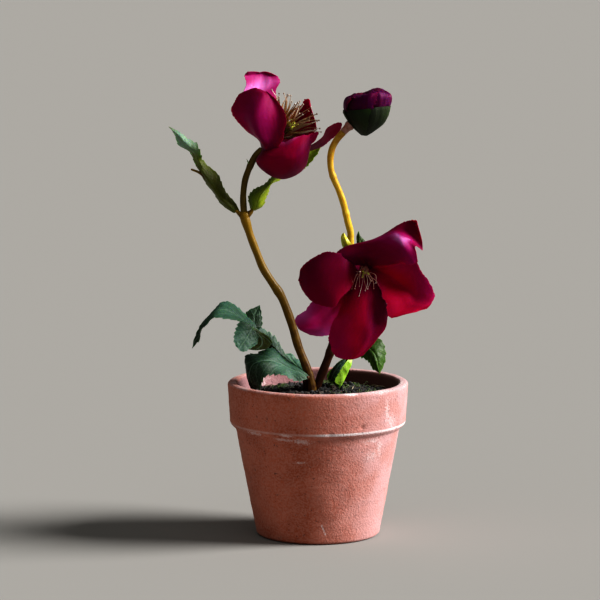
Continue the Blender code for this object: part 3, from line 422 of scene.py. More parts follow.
def satin(name, colours, pale, gleam):
    """A dyed satin; colours run from its shade to its lit face and gleam is the colour of its highlight."""
    material, tree, shader, read = new_material(name)
    threads = use_group(tree, satin_threads, Across=read["across"], Along=read["along"], Pitch=0.34, Pleat=3.5)
    blotch = grains(tree, read, 11.0, 0.2)
    colour = tones_through(tree, read["tone"], colours)
    colour = lay_over(tree, colour, blotch["Mask"], 0.25, colours[0])
    # Painted shade: each petal darkens towards its root, where it sinks into the heart.
    root = soft_step(tree, read["share"], 0.28, 0.02)
    colour = lay_over(tree, colour, root, 0.70, colours[0])
    margin = use_group(tree, frayed_margin, Place=read["place"], Edge=read["edge"], Width=0.32, Ragged=0.18)
    colour = lay_over(tree, colour, margin["Mask"], 0.40, pale)
    rough = reckon(tree, "ADD", 0.48, reckon(tree, "MULTIPLY", threads["Pleat"], 0.16))
    drive(tree, shader, colour, rough, threads["Height"], 0.16, 0.0002)
    set_shader(
        shader, Specular_IOR_Level=0.30, Specular_Tint=gleam, Sheen_Weight=0.03, Sheen_Roughness=0.35,
        Sheen_Tint=gleam, Subsurface_Weight=0.35, Subsurface_Radius=(1.0, 0.03, 0.08), Subsurface_Scale=0.0015,
    )
    return material

crimson_satin = satin(
    "crimson_satin",
    [
        (0.064, 0.000, 0.016), (0.175, 0.000, 0.024), (0.335, 0.000, 0.027),
        (0.300, 0.004, 0.080), (0.480, 0.100, 0.340),
    ],
    (0.34, 0.02, 0.10), (1.0, 0.10, 0.55, 1.0),
)
wine_satin = satin(
    "wine_satin",
    [
        (0.070, 0.000, 0.018), (0.145, 0.000, 0.033), (0.235, 0.000, 0.034),
        (0.310, 0.001, 0.050), (0.480, 0.110, 0.340),
    ],
    (0.34, 0.02, 0.08), (1.0, 0.05, 0.30, 1.0),
)
# Painted light: a pinker copy of the satin, for the petals whose lit faces the window turns magenta.
magenta_satin = satin(
    "magenta_satin",
    [
        (0.062, 0.000, 0.015), (0.150, 0.000, 0.024), (0.190, 0.001, 0.042),
        (0.250, 0.005, 0.090), (0.475, 0.160, 0.405),
    ],
    (0.34, 0.02, 0.12), (1.0, 0.12, 0.60, 1.0),
)
purple_satin = satin(
    "purple_satin", [(0.016, 0.000, 0.006), (0.045, 0.000, 0.018), (0.062, 0.000, 0.042), (0.150, 0.001, 0.036)],
    (0.24, 0.02, 0.10), (0.80, 0.20, 0.52, 1.0),
)
print("materials:", *[m.name for m in (crimson_satin, wine_satin, magenta_satin, purple_satin)])

# %% [markdown]
# ## Leaf cloth
#
# The leaves are cloth stiffened in a heated mould, printed darker on top than below. The midrib and side
# veins are pressed in and stay pale, with a fine net between them. One function serves every green piece.

# %% Leaf finish
def leaf_cloth(name, colours, under, vein, pitch=7.0, slant=1.1, width=0.32, gloss=0.46):
    """A moulded leaf: the tone of its top paints light and shade in three colours; its back is another; veins are pale.
    """
    material, tree, shader, read = new_material(name)
    veins = use_group(
        tree, leaf_veins, Across=read["across"], Along=read["along"], Pitch=pitch, Slant=slant, Width=width
    )
    mottle = grains(tree, read, 5.0, 0.5)
    fibre = grains(tree, read, 0.8, 0.5)
    top = tones_through(tree, read["tone"], colours)
    top = lay_over(tree, top, mottle["Mask"], 0.35, colours[0])
    top = lay_over(tree, top, veins["Network"], 0.14, vein)
    colour = mix_colour(tree, read["side"], top, under)
    colour = lay_over(tree, colour, veins["Mask"], 0.50, vein)
    margin = use_group(tree, frayed_margin, Place=read["place"], Edge=read["edge"], Width=0.35, Ragged=0.2)
    colour = lay_over(tree, colour, margin["Mask"], 0.30, vein)
    rough = reckon(tree, "ADD", gloss, reckon(tree, "MULTIPLY", fibre["Mask"], 0.14))
    relief = reckon(tree, "SUBTRACT", fibre["Height"], reckon(tree, "MULTIPLY", veins["Mask"], 0.9))
    relief = reckon(tree, "SUBTRACT", relief, reckon(tree, "MULTIPLY", veins["Network"], 0.35))
    drive(tree, shader, colour, rough, relief, 0.35, 0.00018)
    set_shader(
        shader, Specular_IOR_Level=0.28, Subsurface_Weight=0.22, Subsurface_Radius=(0.45, 1.0, 0.10),
        Subsurface_Scale=0.0012,
    )
    return material

green_leaf = leaf_cloth(
    "green_leaf", [(0.010, 0.016, 0.003), (0.018, 0.056, 0.028), (0.056, 0.145, 0.095)], (0.034, 0.042, 0.005),
    (0.17, 0.28, 0.20),
)
dark_leaf = leaf_cloth(
    "dark_leaf", [(0.006, 0.016, 0.002), (0.026, 0.070, 0.005), (0.075, 0.170, 0.010)], (0.040, 0.080, 0.004),
    (0.13, 0.24, 0.04),
)
# Painted light: a brighter copy of the leaf cloth, for the glow of the window through the right bract.
bright_leaf = leaf_cloth(
    "bright_leaf", [(0.016, 0.032, 0.004), (0.110, 0.170, 0.005), (0.300, 0.380, 0.008)], (0.160, 0.210, 0.006),
    (0.36, 0.42, 0.07), pitch=6.0,
)
bract_leaf = leaf_cloth(
    "bract_leaf", [(0.070, 0.076, 0.002), (0.110, 0.140, 0.012), (0.200, 0.330, 0.245)], (0.090, 0.105, 0.005),
    (0.15, 0.19, 0.05), pitch=6.0,
)
lime_leaf = leaf_cloth(
    "lime_leaf", [(0.026, 0.075, 0.008), (0.110, 0.240, 0.012), (0.360, 0.600, 0.040)], (0.300, 0.520, 0.050),
    (0.55, 0.72, 0.20), pitch=5.0, gloss=0.34,
)
sheath_yellow = leaf_cloth(
    "sheath_yellow", [(0.20, 0.17, 0.006), (0.44, 0.40, 0.020), (0.66, 0.60, 0.060)], (0.42, 0.38, 0.040),
    (0.72, 0.66, 0.16), pitch=3.5, gloss=0.34,
)
calyx_green = leaf_cloth(
    "calyx_green", [(0.003, 0.003, 0.001), (0.007, 0.013, 0.002), (0.020, 0.040, 0.006)], (0.016, 0.014, 0.006),
    (0.024, 0.040, 0.010), pitch=3.6, slant=2.4, width=0.20, gloss=0.50,
)
print("leaf finishes made: 7")

# %% [markdown]
# ## Stem plastic
#
# The stems are moulded over wire and rubbed with paint. Their colour runs along the length: brown where
# they leave the soil, olive or amber higher up. Fine lengthwise ribs catch the light, and the paint has
# rubbed thin in places.

# %% Stem finish
def stem_plastic(name, stops, rub, gloss=0.40, glow=0.06):
    """stops lists (share of the length, colour), rub is the worn colour and glow is how much light sinks in."""
    material, tree, shader, read = new_material(name)
    ramp = tree.nodes.new("ShaderNodeValToRGB")
    tree.links.new(read["share"], ramp.inputs[0])
    while len(ramp.color_ramp.elements) < len(stops):
        ramp.color_ramp.elements.new(0.5)
    for element, (share, colour) in zip(ramp.color_ramp.elements, stops):
        element.position = share
        element.color = (*colour, 1.0)
    shortened = reckon(tree, "MULTIPLY", read["along"], 0.12)
    drawn_out = add_node(tree, "ShaderNodeCombineXYZ", {0: read["across"], 1: shortened})
    ribs = use_group(tree, grain, Place=drawn_out.outputs[0], Size=0.7, Contrast=0.5)
    blotch = grains(tree, read, 3.2, 0.7)
    colour = lay_over(tree, ramp.outputs[0], blotch["Mask"], 0.40, rub)
    colour = lay_over(tree, colour, ribs["Mask"], 0.22, rub)
    rough = reckon(tree, "ADD", gloss, reckon(tree, "MULTIPLY", blotch["Mask"], 0.15))
    drive(tree, shader, colour, rough, ribs["Height"], 0.45, 0.0002)
    set_shader(
        shader, Specular_IOR_Level=0.26, Subsurface_Weight=glow, Subsurface_Radius=(1.0, 0.45, 0.05),
        Subsurface_Scale=0.0012,
    )
    return material

olive_stem = stem_plastic(
    "olive_stem",
    [
        (0.0, (0.030, 0.006, 0.004)), (0.26, (0.036, 0.009, 0.004)), (0.48, (0.072, 0.032, 0.002)),
        (0.68, (0.125, 0.072, 0.002)), (1.0, (0.240, 0.135, 0.002)),
    ],
    (0.23, 0.13, 0.004),
)
brown_stalk = stem_plastic(
    "brown_stalk", [(0.0, (0.150, 0.092, 0.006)), (0.2, (0.072, 0.046, 0.003)), (1.0, (0.085, 0.048, 0.004))],
    (0.14, 0.095, 0.012),
)
red_stem = stem_plastic(
    "red_stem", [(0.0, (0.026, 0.008, 0.004)), (0.6, (0.044, 0.014, 0.006)), (1.0, (0.070, 0.030, 0.006))],
    (0.10, 0.036, 0.014),
)
amber_stalk = stem_plastic(
    "amber_stalk",
    [
        (0.0, (0.500, 0.310, 0.020)), (0.45, (0.540, 0.280, 0.014)),
        (0.85, (0.440, 0.190, 0.012)), (1.0, (0.310, 0.115, 0.018)),
    ],
    (0.66, 0.52, 0.06), gloss=0.36, glow=0.35,
)
green_stalk = stem_plastic(
    "green_stalk", [(0.0, (0.022, 0.034, 0.008)), (1.0, (0.034, 0.070, 0.016))], (0.07, 0.11, 0.03),
)
print("stem finishes made: 5")

# %% [markdown]
# ## Filaments, soil, moss and the clear collar
#
# The stamens are strips of film, tan at the root and clear and pale at the tip, where the pale is partly a
# painted glint of light. The soil is a nearly black peat that holds a little blue light. Moss and straw lie on
# it, and the bud is held by a milky plastic cuff.

# %% Small finishes
def film_finish(name, dull, fair, pale_from):
    """Stamen film; the pale end starts at the share pale_from of the strip."""
    material, tree, shader, read = new_material(name)
    streaks = grains(tree, read, 0.9, 0.6)
    film = mix_colour(tree, read["tone"], dull, fair)
    film = lay_over(tree, film, streaks["Mask"], 0.35, (0.42, 0.25, 0.11))
    # The pale tip is partly the film's own pale end and partly painted glints of light.
    outer_end = soft_step(tree, read["share"], pale_from, 1.0)
    tip = reckon(tree, "MULTIPLY", outer_end, soft_step(tree, read["tone"], 0.35, 0.9))
    film = lay_over(tree, film, tip, 0.8, (0.68, 0.58, 0.50))
    drive(tree, shader, film, None, streaks["Height"], 0.3, 0.0001)
    set_shader(
        shader, Roughness=0.24, Specular_IOR_Level=0.7, Subsurface_Weight=0.25, Subsurface_Radius=(1.0, 0.6, 0.35),
        Subsurface_Scale=0.0008, Coat_Weight=0.3, Coat_Roughness=0.15,
    )
    return material

filament_film = film_finish("filament_film", (0.075, 0.028, 0.010), (0.26, 0.14, 0.055), 0.70)
pale_film = film_finish("pale_film", (0.30, 0.09, 0.08), (0.56, 0.30, 0.27), 0.30)

pistil_green, tree, shader, read = new_material("pistil_green")
speckle = grains(tree, read, 0.6, 0.7)
colour = mix_colour(tree, speckle["Mask"], (0.34, 0.36, 0.02), (0.66, 0.66, 0.12))
drive(tree, shader, colour, None, speckle["Height"], 0.4, 0.00015)
set_shader(shader, Roughness=0.42, Subsurface_Weight=0.2, Subsurface_Radius=(0.6, 1.0, 0.1), Subsurface_Scale=0.001)

peat, tree, shader, read = new_material("peat")
lumps = grains(tree, read, 2.6, 0.7)
dust = grains(tree, read, 0.5, 0.7)
colour = mix_colour(tree, lumps["Mask"], (0.006, 0.007, 0.008), (0.030, 0.034, 0.038))
colour = lay_over(tree, colour, dust["Mask"], 0.4, (0.075, 0.082, 0.086))
colour = lay_over(tree, colour, read["tone"], 0.75, (0.085, 0.055, 0.035))
drive(tree, shader, colour, None, dust["Height"], 1.0, 0.0004)
set_shader(shader, Roughness=0.85, Specular_IOR_Level=0.35)

moss_green, tree, shader, read = new_material("moss_green")
colour = mix_colour(tree, read["tone"], (0.030, 0.070, 0.012), (0.13, 0.21, 0.055))
colour = mix_colour(tree, soft_step(tree, read["share"], 0.5, 1.0), colour, (0.22, 0.27, 0.13))
drive(tree, shader, colour)
set_shader(shader, Roughness=0.7, Subsurface_Weight=0.1, Subsurface_Scale=0.0005)

straw_pale, tree, shader, read = new_material("straw_pale")
colour = mix_colour(tree, read["tone"], (0.20, 0.15, 0.09), (0.62, 0.53, 0.40))
drive(tree, shader, colour)
set_shader(shader, Roughness=0.6)

milky_cuff, tree, shader, read = new_material("milky_cuff")
haze_and_painted_light = grains(tree, read, 2.0, 0.6)
colour = mix_colour(tree, haze_and_painted_light["Mask"], (0.36, 0.13, 0.08), (0.56, 0.30, 0.24))
drive(tree, shader, colour, None, haze_and_painted_light["Height"], 0.2, 0.0002)
set_shader(
    shader, Roughness=0.30, Transmission_Weight=0.35, IOR=1.46, Subsurface_Weight=0.3,
    Subsurface_Radius=(1.0, 0.6, 0.5), Subsurface_Scale=0.0015,
)
small = (filament_film, pale_film, pistil_green, peat, moss_green, straw_pale, milky_cuff)
print("small finishes:", [material.name for material in small])

# %% [markdown]
# ## Smooth curves and soft waves
#
# A petal or leaf is described by a few rows of points from its root to its tip. A smooth curve through the
# rows gives a surface that can be cut as finely as wanted. Soft waves are sums of sines in random directions;
# they stand in for the small accidents of cloth, clay and paint.

# %% Smooth curves
def running_length(points):
    """Length along a row of points, starting at nought."""
    gaps = np.linalg.norm(np.diff(points, axis=0), axis=1)
    return np.concatenate([[0.0], np.cumsum(np.maximum(gaps, 1e-6))])

def curve_through(points, where, knots):
    """Places on the smooth curve that passes each point at its knot."""
    points = np.asarray(points, dtype=float)
    order = np.arange(len(points))
    after, before = np.minimum(order + 1, len(points) - 1), np.maximum(order - 1, 0)
    slope = (points[after] - points[before]) / (knots[after] - knots[before])[:, None]
    i = np.clip(np.searchsorted(knots, where) - 1, 0, len(points) - 2)
    span = (knots[i + 1] - knots[i])[:, None]
    s = (np.asarray(where) - knots[i])[:, None] / span
    start = points[i] * ((1 + 2 * s) * (1 - s) ** 2) + slope[i] * (span * s * (1 - s) ** 2)
    return start + points[i + 1] * (s * s * (3 - 2 * s)) - slope[i + 1] * (span * s * s * (1 - s))

def even_points(points, count):
    """Evenly spaced places along the smooth curve through the points."""
    knots = running_length(np.asarray(points, dtype=float))
    return curve_through(points, np.linspace(0.0, knots[-1], count), knots)

def waves(places, pitch, seed, count=6):
    """Soft uneven waves, mostly between -1 and 1, with about the given pitch."""
    draw = np.random.default_rng(seed)
    total = np.zeros(places.shape[:-1])
    for _ in range(count):
        direction = draw.normal(size=places.shape[-1])
        direction /= np.linalg.norm(direction)
        length = pitch * draw.uniform(0.7, 1.6)
        total += np.sin(places @ direction * math.tau / length + draw.uniform(0.0, math.tau))
    return total / math.sqrt(count) * 0.9

def blend(value, low, high):
    """0 at low, 1 at high, smooth between."""
    s = np.clip((value - low) / (high - low), 0.0, 1.0)
    return s * s * (3.0 - 2.0 * s)

print("curve helpers ready: running_length, curve_through, even_points, waves, blend")

# %% [markdown]
# ## From shapes to pieces
#
# Every shape below is a patch: points, faces, and the two readings for each point. A piece is one or more
# patches under one material. It rides with the solid frame and takes the place of one CAD node.

# %% Piece maker
def grid_faces(rows, columns, closed=False):
    """Four-cornered faces of a grid of points, with its last column joined to the first if closed."""
    i = np.arange(rows - 1)[:, None]
    k = np.arange(columns if closed else columns - 1)[None, :]
    n = (k + 1) % columns
    corners = [i * columns + k, i * columns + n, (i + 1) * columns + n, (i + 1) * columns + k]
    return np.stack(corners, axis=-1).reshape(-1, 4)

def make_piece(name, node, material, patches, sharp=60.0):
    """Build one mesh from patches and set it over a CAD node."""
    faces, start = [], 0
    for points, corners, _, _ in patches:
        faces.extend((np.asarray(corners) + start).tolist())
        start += len(points)
    points, blade, tint = (np.concatenate([patch[k] for patch in patches]) for k in (0, 2, 3))
    mesh = bpy.data.meshes.new(name)
    mesh.from_pydata((points * MM).tolist(), [], faces)
    for label, values in (("blade", blade), ("tint", tint)):
        layer = mesh.attributes.new(label, "FLOAT_VECTOR", "POINT")
        layer.data.foreach_set("vector", np.asarray(values, dtype=np.float32).ravel())
    bm = bmesh.new()
    bm.from_mesh(mesh)
    bmesh.ops.remove_doubles(bm, verts=bm.verts, dist=2e-7)
    bm.to_mesh(mesh)
    bm.free()
    mesh.materials.append(material)
    mesh.shade_smooth()
    mesh.set_sharp_from_angle(angle=math.radians(sharp))
    piece = bpy.data.objects.new(name, mesh)
    scene.collection.objects.link(piece)
    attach(piece, "root")
    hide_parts(node)
    print(name, "with", len(mesh.vertices), "points, over", node)

print("piece maker ready")

# %% [markdown]
# ## Sheets
#
# A sheet is a petal, a leaf or a strip of film. Its surface is lifted by a relief, its sides are moved by a
# margin, and then it gets two faces and a rim, thinner at the margin than in the middle.

# %% Sheet surface
def unit(vectors):
    """The same directions, one long."""
    return vectors / np.maximum(np.linalg.norm(vectors, axis=-1, keepdims=True), 1e-9)

def normals_of(grid, facing):
    """Directions square to the grid, on the side that looks most along facing."""
    square = unit(np.cross(np.gradient(grid, axis=1), np.gradient(grid, axis=0)))
    if np.ptp(grid[-1], axis=0).max() < 1e-3:
        square[-1] = square[-2]
    turned_over = (square.reshape(-1, 3) @ np.asarray(facing, dtype=float)).sum() < 0.0
    return (-square if turned_over else square), turned_over

def sheet_grid(rows, along, across):
    """Points of a smooth surface through the rows, and the length of its middle line."""
    width = len(rows[0])
    full = np.array([list(row) * (width if len(row) == 1 else 1) for row in rows], dtype=float)
    middle = running_length(full[:, width // 2])
    where = np.linspace(0.0, middle[-1], along + 1)
    stations = np.stack([curve_through(full[:, k], where, middle) for k in range(width)], axis=1)
    return np.stack([even_points(station, across + 1) for station in stations]), middle[-1]

def sheet_field(grid, length):
    """What reliefs and margins read: x across and y along in millimetres, shares of both, and the margin."""
    rows, columns = grid.shape[:2]
    half = np.linalg.norm(np.diff(grid, axis=1), axis=2).sum(axis=1, keepdims=True) / 2.0
    share = np.repeat(np.linspace(0.0, 1.0, rows)[:, None], columns, axis=1)
    side = np.repeat(np.linspace(-1.0, 1.0, columns)[None, :], rows, axis=0)
    x, y = side * half, share * length
    edge = np.minimum(half - np.abs(x), (1.0 - share) * length)
    return {"x": x, "y": y, "share": share, "side": side, "half": half, "length": length, "edge": edge}

print("sheet surface ready")

# %% Sheet faces and tones
def sheet_faces(rows, columns, turned_over):
    """Faces of both sides, and of the rim that joins them."""
    count = rows * columns
    front = grid_faces(rows, columns)
    ids = np.arange(count).reshape(rows, columns)
    loop = np.concatenate([ids[0, :-1], ids[:-1, -1], ids[-1, :0:-1], ids[:0:-1, 0]])
    ahead = np.roll(loop, -1)
    rim = np.stack([ahead, loop, loop + count, ahead + count], axis=1)
    faces = np.concatenate([front, front[:, ::-1] + count, rim])
    return faces[:, ::-1] if turned_over else faces

def sheet_tones(tones, share, side):
    """A tone for each point, between stops that list (share of the length, tones from left to right)."""
    stops = np.asarray(tones, dtype=float)
    columns = [np.interp(share[:, 0], stops[:, 0], stops[:, k]) for k in range(1, stops.shape[1])]
    columns = np.stack(columns, axis=-1)
    place = (side[0] + 1.0) / 2.0 * (columns.shape[1] - 1)
    low = np.minimum(place.astype(int), columns.shape[1] - 2)
    return columns[:, low] * (1.0 - (place - low)) + columns[:, low + 1] * (place - low)

print("sheet faces and tones ready")

# %% Sheet shape
MARGIN_FROM, MARGIN_WIDTH = 0.72, 0.28
RIM_SHARE, INNER_SHARE, THIN_WIDTH = 0.35, 0.65, 1.6

def sheet(rows, along, across, thickness, relief=None, margin=None, tones=((0, 0.5, 0.5),), facing=(0, -1, 0)):
    """A thin sheet through rows of points; relief lifts its surface and margin moves its sides."""
    grid, length = sheet_grid(rows, along, across)
    field = sheet_field(grid, length)
    share, side = field["share"], field["side"]
    square, _ = normals_of(grid, facing)
    if margin is not None:
        outwards, forwards = margin(field)
        weight = np.clip((np.abs(side) - MARGIN_FROM) / MARGIN_WIDTH, 0.0, 1.0)[..., None] ** 2
        away = unit(np.gradient(grid, axis=1)) * np.sign(side)[..., None]
        ahead = unit(np.gradient(grid, axis=0))
        grid = grid + weight * (away * outwards[..., None] + ahead * forwards[..., None])
    if relief is not None:
        grid = grid + square * relief(field)[..., None]
    square, turned_over = normals_of(grid, facing)
    inland = np.clip(field["edge"] / THIN_WIDTH, 0.0, 1.0)
    thick = thickness * (RIM_SHARE + INNER_SHARE * inland)[..., None] / 2.0
    points = np.concatenate([(grid + square * thick).reshape(-1, 3), (grid - square * thick).reshape(-1, 3)])
    bent = field["y"] + field.get("bend", 0.0)
    blade = np.stack([field["x"], bent, field["edge"]], axis=-1).reshape(-1, 3)
    tone = sheet_tones(tones, share, side)
    tint = np.stack([np.zeros_like(share), share, tone], axis=-1).reshape(-1, 3)
    faces = sheet_faces(along + 1, across + 1, turned_over)
    return points, faces, np.concatenate([blade, blade]), np.concatenate([tint, tint + (1.0, 0.0, 0.0)])

print("sheet ready")

# %% [markdown]
# ## How cloth and moulded leaves lie
#
# A satin petal is pressed into a shallow cup and then handled. It keeps lengthwise folds, a frill that grows
# towards its cut edge, small crumples and a few sharp creases. A leaf comes out of a mould: it sinks along
# its veins, swells between them, and its margin is cut into teeth that lean to the tip.

# %% Reliefs and margins
def cloth_relief(seed, fold=0.3, frill=0.5, crumple=0.02, creases=()):
    """Folds, frill and crumples; each crease is (a path of (share, side), height, width) in millimetres."""
    def relief(field):
        x, y, share, side = field["x"], field["y"], field["share"], field["side"]
        drawn_out = np.stack([x, y * 0.22], axis=-1)
        lift = fold * waves(drawn_out, 13.0, seed, 4) * blend(share, 0.05, 0.4)
        along_rim = np.stack([y + 40.0 * np.sign(side), 0.25 * x], axis=-1)
        closeness = np.clip(1.0 - field["edge"] / 6.0, 0.0, 1.0) ** 2
        lift += frill * waves(along_rim, 12.0, seed + 1, 4) * closeness * blend(share, 0.10, 0.45)
        tip_rim = np.stack([x, 0.0 * y], axis=-1)
        at_tip = np.clip(1.0 - (1.0 - share) * field["length"] / 7.0, 0.0, 1.0) ** 2
        lift += 0.8 * frill * waves(tip_rim, 9.0, seed + 2, 4) * at_tip
        lift += crumple * waves(np.stack([x, y * 0.6], axis=-1), 2.3, seed + 3, 9)
        for path, height, width in creases:
            path = np.asarray(path, dtype=float)
            centre = np.interp(share, path[:, 0], path[:, 1]) * field["half"]
            first, last = path[0, 0], path[-1, 0]
            ends = blend(share, first - 0.04, first + 0.12) * blend(-share, -last - 0.04, -last + 0.12)
            lift += height * np.exp(-(((x - centre) / width) ** 2)) * ends
        return lift
    return relief

def cut_cloth(seed, ragged=0.22, sway=0.5):
    """A margin cut by a blade: a slow sway and short loose threads."""
    def margin(field):
        line = np.stack([field["y"] + 60.0 * np.sign(field["side"]), 0.0 * field["y"]], axis=-1)
        fade = blend(field["share"], 0.05, 0.25)
        outwards = (sway * waves(line, 9.0, seed) + ragged * waves(line, 1.3, seed + 5, 9)) * fade
        return outwards, 0.0 * outwards
    return margin

def leaf_relief(seed, pitch=7.0, slant=1.1, quilt=0.17, groove=0.32, sway=0.7):
    """A moulded leaf: a groove on the midrib, swellings between the side veins, and a slow sway."""
    def relief(field):
        x, y, side = field["x"], field["y"], field["side"]
        field["bend"] = 1.4 * waves(np.stack([x, y], axis=-1), 22.0, seed + 7)
        order = (y + field["bend"] - np.abs(x) * slant) / pitch
        to_vein = np.abs(order - np.round(order)) * pitch
        lift = quilt * (1.0 - np.exp(-((to_vein / 1.3) ** 2)))
        lift = lift * blend(np.abs(x), 0.2, 2.0) * blend(field["edge"], 0.0, 1.5)
        lift -= groove * np.exp(-((x / 0.9) ** 2)) * blend(field["share"], 1.0, 0.75)
        along_rim = np.stack([y + 50.0 * np.sign(side), 0.3 * x], axis=-1)
        lift += sway * waves(along_rim, 15.0, seed) * np.abs(side) ** 2 * blend(field["share"], 0.0, 0.2)
        return lift + 0.05 * waves(np.stack([x, y], axis=-1), 1.6, seed + 1, 9)
    return relief

def saw_teeth(seed, pitch=4.0, depth=1.0):
    """A serrated margin: each tooth rises slowly, leans towards the tip and drops back at once."""
    def margin(field):
        draw = np.random.default_rng(seed)
        sizes = draw.uniform(0.65, 1.25, size=400)
        starts = field["y"] / pitch + 0.35 * np.sign(field["side"])
        order = np.floor(starts)
        part = starts - order
        rise = np.where(part < 0.78, part / 0.78, (1.0 - part) / 0.22)
        size = sizes[(order + 100 * (field["side"] > 0)).astype(int) % 400]
        fade = blend(field["share"], 0.03, 0.12) * blend(field["share"], 1.0, 0.93)
        reach = np.minimum(depth, 0.35 * field["half"]) * size * rise * fade
        return reach, 0.55 * reach
    return margin

print("reliefs and margins ready: cloth_relief, cut_cloth, leaf_relief, saw_teeth")

# %% [markdown]
# ## Stems and turned shapes
#
# A stem is a tube whose frame is carried along without twisting. Its radius follows a short list and swells
# at bumps, and fine ribs run along it. A turned shape is a profile swept round the upright axis.

# %% Stem and turned shapes
FAR_FROM_MARGIN = 5.0

def tube(points, radii, sides=20, step=0.9, bumps=(), ribs=0.03, seed=0, tone=0.5):
    """A stem; bumps are (share, height, width in shares) and radii are read evenly from root to tip."""
    length = running_length(np.asarray(points, dtype=float))[-1]
    count = max(6, int(length / step) + 1)
    line = even_points(points, count)
    share = np.linspace(0.0, 1.0, count)
    radius = np.interp(share, np.linspace(0.0, 1.0, len(radii)), radii)
    for centre, height, width in bumps:
        radius = radius + height * np.exp(-(((share - centre) / width) ** 2))
    ahead = unit(np.gradient(line, axis=0))
    side = unit(np.cross(ahead[0], (0.31, 0.90, 0.29)))
    angle = np.linspace(0.0, math.tau, sides, endpoint=False)
    rings = []
    for k in range(count):
        side = unit(side - ahead[k] * (side @ ahead[k]))
        over = np.cross(ahead[k], side)
        uneven = 1.0 + ribs * np.cos(7 * angle + 0.02 * k) + 0.5 * ribs * np.sin(3 * angle + 0.11 * k + seed)
        swell = 1.0 + 0.03 * math.sin(0.35 * k + seed)
        reach = (radius[k] * uneven * swell)[:, None]
        rings.append(line[k] + reach * (np.cos(angle)[:, None] * side + np.sin(angle)[:, None] * over))
    foot = np.repeat(line[:1] - ahead[0] * radius[0] * 0.5, sides, axis=0)
    head = np.repeat(line[-1:] + ahead[-1] * radius[-1] * 0.6, sides, axis=0)
    grid = np.stack([foot, *rings, head])
    share = np.concatenate([[0.0], share, [1.0]])
    x = np.tile(angle * radius.mean(), (count + 2, 1))
    y = np.repeat((share * length)[:, None], sides, axis=1)
    blade = np.stack([x, y, np.full_like(x, FAR_FROM_MARGIN)], axis=-1).reshape(-1, 3)
    tint = np.stack([np.zeros_like(x), np.repeat(share[:, None], sides, axis=1), np.full_like(x, tone)], axis=-1)
    return grid.reshape(-1, 3), grid_faces(count + 2, sides, True), blade, tint.reshape(-1, 3)

def turned(profile, steps, shape):
    """A solid swept round the z axis from a profile of (radius, height); shape moves its points."""
    profile = np.asarray(profile, dtype=float)
    angle = np.linspace(0.0, math.tau, steps, endpoint=False)
    radius = np.repeat(profile[:, :1], steps, axis=1)
    height = np.repeat(profile[:, 1:], steps, axis=1)
    turn = np.repeat(angle[None, :], len(profile), axis=0)
    radius, height = shape(radius, height, turn)
    points = np.stack([radius * np.cos(turn), radius * np.sin(turn), height], axis=-1).reshape(-1, 3)
    blade = np.stack([turn * radius.max(), height, np.full_like(height, FAR_FROM_MARGIN)], axis=-1).reshape(-1, 3)
    share = (height - height.min()) / max(np.ptp(height), 1e-6)
    tint = np.stack([np.zeros_like(share), share, np.full_like(share, 0.5)], axis=-1).reshape(-1, 3)
    return points, grid_faces(len(profile), steps, True), blade, tint

def lump(centre, radius, stretch=(1.0, 1.0, 1.0), seed=0, uneven=0.0, fine=2, tone=0.5, share=0.5):
    """A rounded lump with an uneven skin."""
    bm = bmesh.new()
    bmesh.ops.create_icosphere(bm, subdivisions=fine, radius=1.0)
    points = np.array([v.co[:] for v in bm.verts])
    faces = np.array([[v.index for v in f.verts] for f in bm.faces])
    bm.free()
    points = points * (1.0 + uneven * waves(points, 1.3, seed))[:, None] * np.asarray(stretch) * radius
    blade = np.tile((0.0, 0.0, FAR_FROM_MARGIN), (len(points), 1))
    tint = np.tile((0.0, share, tone), (len(points), 1))
    return points + np.asarray(centre, dtype=float), faces, blade, tint

print("shapes ready: tube, turned, lump")

# %% [markdown]
# ## The floor
#
# A plain pale floor that runs further than the camera can see, so that nothing else is in the picture.

# %% Floor
bpy.ops.mesh.primitive_plane_add(size=60.0)
floor = bpy.context.object
floor.name = "floor"
paint, tree, shader, read = new_material("floor_paint")
FLOOR_COLOUR = (0.285, 0.280, 0.268, 1.0)
set_shader(shader, Base_Color=FLOOR_COLOUR, Roughness=0.75, Specular_IOR_Level=0.0)
floor.data.materials.append(paint)
print("floor laid")

# %% [markdown]
# ## The pot
#
# The pot was thrown on a wheel, so its wall is never quite round and carries faint rings from the fingers.
# The thick collar has a worn lower edge, and small chips have come off the lip and the wall. The profile is
# divided finely where it shows and coarsely under the soil.

# %% Pot
def fine_profile(corners, step):
    """Points along straight runs between corners, no further apart than step."""
    made = [corners[0]]
    for a, b in zip(corners, corners[1:]):
        count = max(1, math.ceil(math.dist(a, b) / step))
        for k in range(1, count + 1):
            made.append((a[0] + (b[0] - a[0]) * k / count, a[1] + (b[1] - a[1]) * k / count))
    return made

